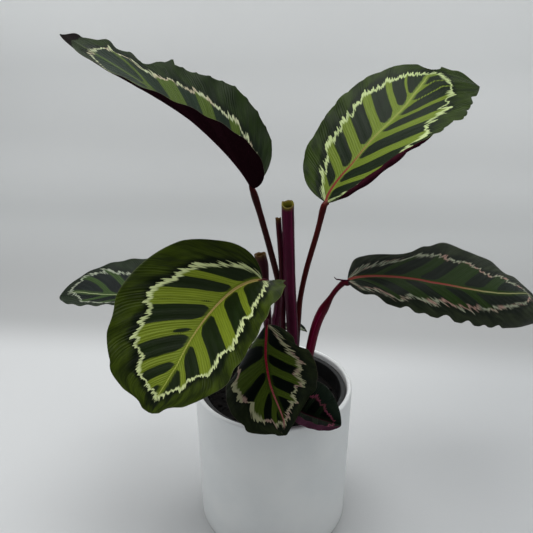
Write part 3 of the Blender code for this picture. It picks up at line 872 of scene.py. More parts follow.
@dataclass
class Stalk:
    """A leaf stalk or a stub along its CAD centre line, with a rolled sheath low down."""

    name: str
    foot: tuple[float, float]
    through: tuple[tuple[float, float, float], ...]
    foot_radius: float
    sheath_radius: float
    sheath_end: float
    top_radius: float
    finish: StalkFinish
    blade: Optional[Leaf] = None
    end: StalkEnd = StalkEnd.BLADE
    seam: float = 250.0
    roll: float = 0.10
    slant: float = 0.0
    foot_height: float = 0.1173
    start_rise: float = 0.006
    approach: float = 0.004
    overlap: float = 0.0045
    sink: float = 0.0010
    drop: float = 0.0
    fade: float = 0.15
    rings: int = 110
    sides: int = 40

    def route(self) -> list[Vector]:
        """Evenly spread points along the centre line."""
        foot = Vector((*self.foot, self.foot_height))
        points = [foot, foot + Vector((0, 0, self.start_rise))]
        points += [Vector(point) for point in self.through]
        if self.blade:
            forward, upward = self.blade.rib_direction(0.0)
            base = Vector(self.blade.base)
            points.append(base - forward * self.approach - upward * self.drop)
            points.append(base - upward * max(self.sink * 0.6, self.drop))
            points.append(base + forward * self.overlap - upward * self.sink)
        return [foot] + self.spread(points[1:], self.rings - 1)

    def spread(self, points: list[Vector], count: int, steps: int = 24) -> list[Vector]:
        """Evenly spread points on a smooth curve through the given points.

        Args:
            points: points that the curve passes.
            count: how many points to give.
            steps: samples between two of the given points.

        Returns:
            The points.
        """
        ends = [points[0] * 2 - points[1]] + points + [points[-1] * 2 - points[-2]]
        fine = []
        for i in range(1, len(ends) - 2):
            a, b, c, d = ends[i - 1 : i + 3]
            for j in range(steps):
                t = j / steps
                bend = (a * 2 - b * 5 + c * 4 - d) * t**2 + (b * 3 - a - c * 3 + d) * t**3
                fine.append((b * 2 + (c - a) * t + bend) / 2)
        fine.append(points[-1])
        places = np.array([tuple(point) for point in fine])
        lengths = np.concatenate([[0.0], np.cumsum(np.linalg.norm(np.diff(places, axis=0), axis=1))])
        wanted = np.linspace(0, lengths[-1], count)
        return [Vector([np.interp(s, lengths, places[:, axis]) for axis in range(3)]) for s in wanted]

    def radius(self, share: float) -> float:
        """Radius at a share of the length: a sheath low down that narrows into the stalk."""
        if share < self.sheath_end:
            return self.foot_radius + (self.sheath_radius - self.foot_radius) * share / self.sheath_end
        past = min((share - self.sheath_end) / self.fade, 1.0)
        ease = past * past * (3 - 2 * past)
        radius = self.sheath_radius + (self.top_radius - self.sheath_radius) * ease
        if self.blade:
            swell = 1 + 0.16 * max(0.0, 1 - abs(share - 0.93) / 0.06)
            radius *= swell * (1 - 0.75 * max(0.0, (share - 0.955) / 0.045) ** 1.5)
        return radius

    def ring(self, centre: Vector, axes: tuple[Vector, Vector], radius: float, share: float) -> list[Vector]:
        """Points round the centre line, rolled like a sheath low down."""
        rolled = self.roll * (1 - min(max((share - self.sheath_end + 0.05) / 0.1, 0.0), 1.0))
        points = []
        for i in range(self.sides + 1):
            turn = i / self.sides
            angle = 2 * pi * turn + radians(self.seam)
            spot = Vector((cos(angle) * 1.5, sin(angle) * 1.5, share * 14 + self.seam))
            wobble = 1 + 0.02 * noise.noise(spot)
            reach = radius * wobble * (1 + rolled * (turn - 0.5) * 2)
            points.append(centre + axes[0] * (cos(angle) * reach) + axes[1] * (sin(angle) * reach))
        return points

    def frames(self, route: list[Vector]) -> list[tuple[Vector, Vector]]:
        """Two directions across the centre line at each point, turned as little as may be."""
        across = Vector((1, 0, 0))
        frames = []
        for i in range(len(route)):
            ahead = (route[min(i + 1, len(route) - 1)] - route[max(i - 1, 0)]).normalized()
            across = (across - ahead * across.dot(ahead)).normalized()
            frames.append((across, ahead.cross(across)))
        return frames

    def rings_to_top(self) -> tuple[list[list[Vector]], list[float]]:
        """All rings, from the foot to the top and down into a hollow, with each ring's share."""
        route = self.route()
        frames = self.frames(route)
        rings = []
        shares = []
        for i, centre in enumerate(route):
            share = i / (len(route) - 1)
            rings.append(self.ring(centre, frames[i], self.radius(share), share))
            shares.append(share)
        if self.end is not StalkEnd.BLADE:
            self.tear(rings, shares, route, frames)
        return rings, shares

    def tear(self, rings: list, shares: list, route: list[Vector], frames: list) -> None:
        """Give a stub an uneven rim and a hollow, or a sunken dry end."""
        ahead = (route[-1] - route[-2]).normalized()
        ragged = 0.0016 if self.end is StalkEnd.DRIED else 0.0010
        for i in range(self.sides + 1):
            angle = 2 * pi * i / self.sides
            lift = noise.noise(Vector((cos(angle) * 1.6 + self.seam, sin(angle) * 1.6, 0.3))) * ragged
            lift += (rings[-1][i] - route[-1]).y / self.top_radius * self.slant
            for back in range(4):
                rings[-1 - back][i] = rings[-1 - back][i] + ahead * lift * (1 - back / 4)
        outer = rings[-1]
        deep = 0.012 if self.end is StalkEnd.HOLLOW else 0.0022
        wall = 0.72 if self.end is StalkEnd.HOLLOW else 0.62
        inside = ((wall, 0.0008), (wall * 0.97, deep * 0.6), (wall * 0.8, deep))
        for inset, depth in ((0.93, -0.0002), (0.84, 0.0), *inside):
            centre = route[-1] - ahead * depth
            drop = ahead * depth
            rings.append([route[-1] + (point - route[-1]) * inset - drop for point in outer])
            shares.append(1.0 + depth * 10)
        rings.append([centre] * (self.sides + 1))
        shares.append(1.0 + deep * 10)

    def build(self) -> bpy.types.Object:
        """Build the stalk as one closed mesh.

        Returns:
            The finished object.
        """
        rings, shares = self.rings_to_top()
        rings = [[self.middle(rings[0])] * (self.sides + 1)] + rings
        shares = [0.0] + shares
        if self.end is StalkEnd.BLADE:
            rings.append([self.middle(rings[-1])] * (self.sides + 1))
            shares.append(1.0)
        wide = self.sides + 1
        verts = [tuple(point) for ring in rings for point in ring]
        faces = []
        charts = []
        for row in range(len(rings) - 1):
            for i in range(self.sides):
                low, high = row * wide + i, (row + 1) * wide + i
                faces.append((low, low + 1, high + 1, high))
                a, b = shares[row], shares[row + 1]
                s, t = i / self.sides, (i + 1) / self.sides
                charts += [a, s, a, t, b, t, b, s]
            low, high = row * wide + self.sides, (row + 1) * wide + self.sides
            faces.append((low, row * wide, (row + 1) * wide, high))
            charts += [shares[row], 1.0, shares[row], 1.0, shares[row + 1], 1.0, shares[row + 1], 1.0]
        mesh = bpy.data.meshes.new(self.name)
        mesh.from_pydata(verts, [], faces)
        mesh.uv_layers.new(name="stalk").data.foreach_set("uv", charts)
        weld(mesh)
        mesh.shade_smooth()
        mesh.set_sharp_from_angle(angle=radians(50))
        skin = self.finish.material(self.name + "_skin", self.sheath_end)
        return add_mesh("stalk_" + self.name, mesh, [skin])

    def middle(self, ring: list[Vector]) -> Vector:
        """The mean of a ring's points."""
        total = Vector((0, 0, 0))
        for point in ring[:-1]:
            total = total + point
        return total / (len(ring) - 1)

    def make(self) -> None:
        """Build the stalk and let it stand for its CAD node."""
        if self.end is StalkEnd.BLADE:
            claim(self.build(), "stem_" + self.name)
        else:
            claim(self.build(), "cut_stem_" + self.name.removeprefix("cut_"))


# Pots, soil and rootstock


@dataclass
class CoverPot:
    """White ceramic cover pot with a rounded rim and a softened foot."""

    height: float = 0.130
    top_radius: float = 0.066
    base_radius: float = 0.0645
    wall: float = 0.004
    floor: float = 0.006
    foot_round: float = 0.003
    steps: int = 192

    def profile(self) -> Profile:
        """Up the inside, over the rim and down the outside."""
        half = self.wall / 2
        rim_height = self.height - half
        inner_base = self.base_radius - self.wall
        corner = self.foot_round
        inside = [(0.0, self.floor), (inner_base * 0.5, self.floor)]
        inside += arc((inner_base - corner, self.floor + corner), corner, -90, 0)
        rim = arc((self.top_radius - half, rim_height), half, 180, 0, 20)
        foot = arc((self.base_radius - corner, corner), corner, 0, -90)
        walls = between((self.top_radius, rim_height), (self.base_radius, corner), 12)[:-1]
        return inside + rim + walls + foot + [(self.base_radius * 0.5, 0.0), (0.0, 0.0)]

    def glaze(self) -> bpy.types.Material:
        """Satin white glaze with faint mottling."""
        graph = Graph("white_glaze", 0.34)
        place = graph.place()
        mottle = graph.noise(place, 22.0, 3.0)
        grain = graph.noise(place, 900.0, 2.0)
        _, _, height = graph.split(place)
        paint = graph.mix(mottle.rise(0.35, 0.7), shade(232, 235, 235), shade(238, 240, 239))
        # Greyer towards the foot, over the lowest 12 mm.
        paint = graph.mix((1.0 - height.rise(0.0, 0.012)) * 0.35, paint, shade(210, 211, 208))
        return graph.finish(paint, mottle * 0.12 + 0.30, grain * 0.4 + mottle, 0.00012)

    def make(self) -> None:
        """Build the pot and let it stand for its CAD node."""
        mesh = turned_mesh("cover_pot", self.profile(), self.steps)
        claim(add_mesh("ceramic_pot", mesh, [self.glaze()]), "cover_pot")


@dataclass
class NurseryPot:
    """Thin black plastic pot with a turned-down lip and drain holes."""

    base: float = 0.0063
    height: float = 0.1195
    lip_radius: float = 0.0610
    lip_drop: float = 0.006
    top_radius: float = 0.0585
    base_radius: float = 0.0460
    wall: float = 0.0012
    holes: int = 6
    hole_radius: float = 0.005
    hole_circle: float = 0.028
    steps: int = 144

    def radius(self, height: float) -> float:
        """Outer radius of the wall at a height above its base."""
        return self.base_radius + (self.top_radius - self.base_radius) * height / self.height

    def profile(self) -> Profile:
        """Up the inside, over the lip and down the outside."""
        top = self.base + self.height
        edge = 0.0006
        inner = self.top_radius - self.wall
        under = self.lip_radius - self.wall
        points = [(0.0, self.base + self.wall), (self.radius(self.wall) - self.wall, self.base + self.wall)]
        points += [(inner - 0.0004, top - edge), (inner + 0.0002, top)]
        points += arc((self.lip_radius - edge, top - edge), edge, 90, 0, 4)
        points += [(self.lip_radius, top - self.lip_drop), (under, top - self.lip_drop)]
        points += [(under, top - self.wall), (self.radius(self.height - self.wall), top - self.wall)]
        points += [(self.radius(0.004), self.base + 0.004), (self.base_radius, self.base), (0.0, self.base)]
        return points

    def pierce(self, pot: bpy.types.Object) -> None:
        """Cut the drain holes through the pot's floor."""
        shape = bmesh.new()
        for i in range(self.holes):
            angle = 2 * pi * i / self.holes
            place = (self.hole_circle * cos(angle), self.hole_circle * sin(angle), self.base)
            bmesh.ops.create_cone(
                shape, cap_ends=True, segments=32, radius1=self.hole_radius, radius2=self.hole_radius,
                depth=4 * self.wall, matrix=Matrix.Translation(place),
            )
        mesh = bpy.data.meshes.new("drain_holes")
        shape.to_mesh(mesh)
        shape.free()
        cutter = add_mesh("drain_holes", mesh, [])
        boolean = pot.modifiers.new("drain", "BOOLEAN")
        boolean.operation = "DIFFERENCE"
        boolean.object = cutter
        graph = bpy.context.evaluated_depsgraph_get()
        cut = bpy.data.meshes.new_from_object(pot.evaluated_get(graph))
        pot.modifiers.clear()
        pot.data = cut
        bpy.data.objects.remove(cutter, do_unlink=True)

    def plastic(self) -> bpy.types.Material:
        """Moulded black plastic with a faint grain and dust."""
        graph = Graph("black_plastic", 0.5)
        place = graph.place()
        dust = graph.noise(place, 60.0, 4.0, 0.6)
        grain = graph.noise(place, 700.0, 2.0)
        paint = graph.mix(dust.rise(0.5, 0.85) * 0.6, shade(22, 23, 24), shade(46, 45, 43))
        return graph.finish(paint, dust * 0.25 + 0.34, grain, 0.0001)

    def make(self) -> None:
        """Build the pot and let it stand for its CAD node."""
        mesh = turned_mesh("nursery_pot", self.profile(), self.steps, 30)
        pot = add_mesh("plastic_pot", mesh, [self.plastic()])
        self.pierce(pot)
        pot.data.shade_smooth()
        pot.data.set_sharp_from_angle(angle=radians(30))
        claim(pot, "nursery_pot")


@dataclass
class Soil:
    """Crumbly potting mix, mounded a little, with the rootstock's pocket in it."""

    bottom: float = 0.0078
    edge_top: float = 0.1118
    centre_top: float = 0.1153
    edge_radius: float = 0.0553
    foot_radius: float = 0.0446
    pocket: tuple[float, float] = (0.0135, 0.0)
    pocket_radius: float = 0.0200
    rings: int = 70
    steps: int = 160
    crumbs: int = 240

    def surface(self, x: float, y: float) -> float:
        """Height of the soil over a point."""
        radius = (x * x + y * y) ** 0.5
        share = min(radius / self.edge_radius, 1.0)
        plain = self.edge_top + (self.centre_top - self.edge_top) * (1 - share**2)
        spot = Vector((x, y, 0.0))
        sizes = ((130, 0.0011), (420, 0.0008), (1100, 0.0003))
        lumps = sum(noise.noise(spot * scale) * size for scale, size in sizes)
        near = ((x - self.pocket[0]) ** 2 + (y - self.pocket[1]) ** 2) ** 0.5
        dip = 0.0016 * max(0.0, 1 - max(near - self.pocket_radius * 0.6, 0.0) / (self.pocket_radius * 0.4))
        return plain + lumps - dip

    def mesh(self) -> bpy.types.Mesh:
        """The soil's body and its crumbs."""
        rows = [(self.edge_radius * (i / self.rings), None) for i in range(self.rings + 1)]
        rows += between((self.edge_radius, self.edge_top), (self.foot_radius, self.bottom), 6)
        rows += [(0.0, self.bottom)]
        verts = []
        for radius, height in rows:
            for i in range(self.steps):
                angle = 2 * pi * i / self.steps
                x, y = radius * cos(angle), radius * sin(angle)
                verts.append((x, y, self.surface(x, y) if height is None else height))
        mesh = bpy.data.meshes.new("soil")
        mesh.from_pydata(verts, [], ring_faces(len(rows), self.steps))
        shape = bmesh.new()
        shape.from_mesh(mesh)
        bmesh.ops.remove_doubles(shape, verts=shape.verts, dist=MERGE)
        self.scatter(shape)
        shape.to_mesh(mesh)
        shape.free()
        mesh.shade_smooth()
        return mesh

    def scatter(self, shape: bmesh.types.BMesh) -> None:
        """Add crumbs and bark chips, half sunk into the soil."""
        random = np.random.default_rng(5)
        for _ in range(self.crumbs):
            angle = random.uniform(0, 2 * pi)
            radius = (self.edge_radius - 0.003) * random.uniform(0, 1) ** 0.5
            x, y = radius * cos(angle), radius * sin(angle)
            size = random.uniform(0.0007, 0.0021)
            stretch = Vector((random.uniform(0.7, 1.6), random.uniform(0.6, 1.1), random.uniform(0.4, 0.8)))
            turn = Matrix.Rotation(random.uniform(0, pi), 4, "Z")
            made = bmesh.ops.create_icosphere(shape, subdivisions=2, radius=size)
            place = Vector((x, y, self.surface(x, y) + size * 0.15))
            for vertex in made["verts"]:
                rough = 1 + 0.35 * noise.noise(vertex.co * (1.2 / size) + place * 900)
                vertex.co = place + turn @ Vector(a * b for a, b in zip(vertex.co * rough, stretch))

    def earth(self) -> bpy.types.Material:
        """Crumbly mix with a few paler flecks, painted almost black: its own dark colour with painted shade
        added.
        """
        graph = Graph("soil_with_painted_shade", 0.95, 0.2)
        place = graph.place()
        lump = graph.noise(place, 260.0, 4.0, 0.65)
        fleck = graph.noise(place, 1400.0, 2.0)
        # Painted shade: colours near black, darker than the mix itself.
        paint = graph.mix(lump.rise(0.35, 0.7), shade(5, 4, 3), shade(18, 13, 10))
        paint = graph.mix(fleck.rise(0.68, 0.76) * 0.3, paint, shade(54, 42, 32))
        return graph.finish(paint, lump * 0.1 + 0.85, lump + fleck * 0.4, 0.0008)

    def make(self) -> None:
        """Build the soil and let it stand for its CAD node."""
        claim(add_mesh("potting_mix", self.mesh(), [self.earth()]), "soil")


@dataclass
class Rootstock:
    """Short oval rootstock: a knobbly crown with old leaf scars."""

    centre: tuple[float, float] = (0.0135, 0.0)
    radius_x: float = 0.0215
    radius_y: float = 0.0200
    top: float = 0.1170
    depth: float = 0.0200
    steps: int = 96
    rows: int = 48

    def mesh(self) -> bpy.types.Mesh:
        """A flattened knobbly body."""
        verts = []
        for row in range(self.rows + 1):
            angle = pi * row / self.rows
            for i in range(self.steps):
                turn = 2 * pi * i / self.steps
                out = sin(angle) ** 0.45
                high = cos(angle)
                x = self.radius_x * out * cos(turn)
                y = self.radius_y * out * sin(turn)
                z = self.top - 0.004 + (0.004 * high if high > 0 else (self.depth - 0.004) * high)
                spot = Vector((x, y, z))
                knob = 1 + 0.05 * noise.noise(spot * 160) + 0.02 * noise.noise(spot * 520)
                ring = 0.0003 * noise.noise(spot * 300) if high > 0 else 0.0
                knob = min(knob, 1.0)
                verts.append((self.centre[0] + x * knob, self.centre[1] + y * knob, z + ring - 0.0002))
        mesh = bpy.data.meshes.new("rootstock")
        mesh.from_pydata(verts, [], ring_faces(self.rows + 1, self.steps))
        weld(mesh)
        mesh.shade_smooth()
        return mesh

    def bark(self) -> bpy.types.Material:
        """Rough brown skin with darker scars."""
        graph = Graph("root_bark", 0.9, 0.25)
        place = graph.place()
        scale = graph.noise(place, 180.0, 4.0, 0.6)
        scar = graph.noise(place, 520.0, 3.0)
        paint = graph.mix(scale.rise(0.35, 0.7), shade(38, 22, 18), shade(88, 52, 38))
        paint = graph.mix(scar.rise(0.6, 0.72) * 0.7, paint, shade(20, 12, 10))
        return graph.finish(paint, scale * 0.2 + 0.75, scale + scar * 0.5, 0.0007)

    def make(self) -> None:
        """Build the rootstock and let it stand for its CAD node."""
        claim(add_mesh("rootstock", self.mesh(), [self.bark()]), "rhizome")


# The plant's own leaves and stalks

# These finishes share one kind of marking, in colours set to each leaf's light, so they are lit and shaded
# copies: the front-left and upper-right leaves carry painted light, the upper-left, back and low leaves
# painted shade.
SUNLIT = LeafFinish(
    light=shade(106, 120, 36), dark=shade(24, 33, 14), glow=shade(90, 104, 28), band=shade(188, 198, 144),
    blush=shade(172, 182, 130), outer=shade(14, 22, 5), sheen=shade(56, 68, 17), rib=shade(150, 132, 78),
    rib_tip=shade(140, 150, 66), under=shade(62, 22, 40), rib_turn=(0.45, 0.75),
)
BRIGHT = LeafFinish(
    light=shade(97, 113, 40), dark=shade(20, 30, 14), glow=shade(103, 121, 50), band=shade(170, 184, 130),
    blush=shade(155, 169, 118), outer=shade(17, 27, 9), sheen=shade(46, 60, 17), rib=shade(122, 54, 46),
    rib_tip=shade(134, 146, 72), under=shade(50, 24, 32), jag=0.36, rib_turn=(0.12, 0.42), rib_end=0.80,
)
SHADED = LeafFinish(
    light=shade(72, 88, 34), dark=shade(28, 38, 28), glow=shade(56, 74, 34), band=shade(165, 172, 138),
    blush=shade(160, 150, 128), outer=shade(16, 25, 12), sheen=shade(33, 46, 16), rib=shade(60, 28, 34),
    rib_tip=shade(90, 104, 60), under=shade(38, 22, 27), band_width=0.22, jag=0.32, contrast=0.85,
    dry_from=0.95,
)
REAR_SHADED = LeafFinish(
    light=shade(56, 74, 40), dark=shade(20, 26, 24), glow=shade(56, 74, 40), band=shade(150, 158, 138),
    blush=shade(145, 150, 132), outer=shade(24, 32, 22), sheen=shade(36, 46, 30), rib=shade(140, 150, 110),
    rib_tip=shade(140, 150, 110), under=shade(52, 22, 36), band_width=0.22, jag=0.34,
)
RIGHT_HAND = LeafFinish(
    light=shade(44, 64, 20), dark=shade(24, 30, 23), glow=shade(42, 58, 20), band=shade(150, 155, 132),
    blush=shade(160, 127, 116), outer=shade(25, 31, 23), sheen=shade(48, 55, 38), rib=shade(140, 66, 58),
    rib_tip=shade(140, 145, 96), under=shade(60, 24, 40), band_width=0.20, jag=0.34, contrast=0.62,
    rib_turn=(0.40, 0.65), specular=0.12, roughness=0.36,
)
YOUNG = LeafFinish(
    light=shade(60, 74, 26), dark=shade(12, 17, 13), glow=shade(44, 56, 20), band=shade(150, 150, 118),
    blush=shade(146, 122, 112), outer=shade(25, 30, 23), sheen=shade(42, 48, 31), rib=shade(134, 32, 48),
    rib_tip=shade(150, 92, 90), under=shade(90, 46, 70), band_width=0.34, jag=0.40, roughness=0.45,
    specular=0.03,
)
LOW = LeafFinish(
    light=shade(26, 36, 24), dark=shade(12, 16, 14), glow=shade(30, 36, 26), band=shade(112, 56, 74),
    blush=shade(92, 52, 60), outer=shade(24, 32, 26), sheen=shade(30, 38, 30), rib=shade(46, 24, 30),
    rib_tip=shade(50, 28, 34), under=shade(78, 48, 62), band_width=0.20, jag=0.24,
)


def fan(places: Sequence[float], half: float) -> Pairs:
    """Stripes of one half width at the places given."""
    return tuple((place, half) for place in places)


LOW_LOBE = Lobe(
    stripes=fan((0.15, 0.36, 0.58), 0.045),
    reach=((0.0, 0.3), (0.2, 0.6), (0.4, 0.62), (0.6, 0.55), (0.8, 0.35), (0.93, 0.1)),
)
BUD_LOBE = Lobe(
    stripes=fan((0.2, 0.45, 0.7), 0.05), reach=((0.0, 0.3), (0.3, 0.6), (0.7, 0.5), (0.92, 0.1)),
)

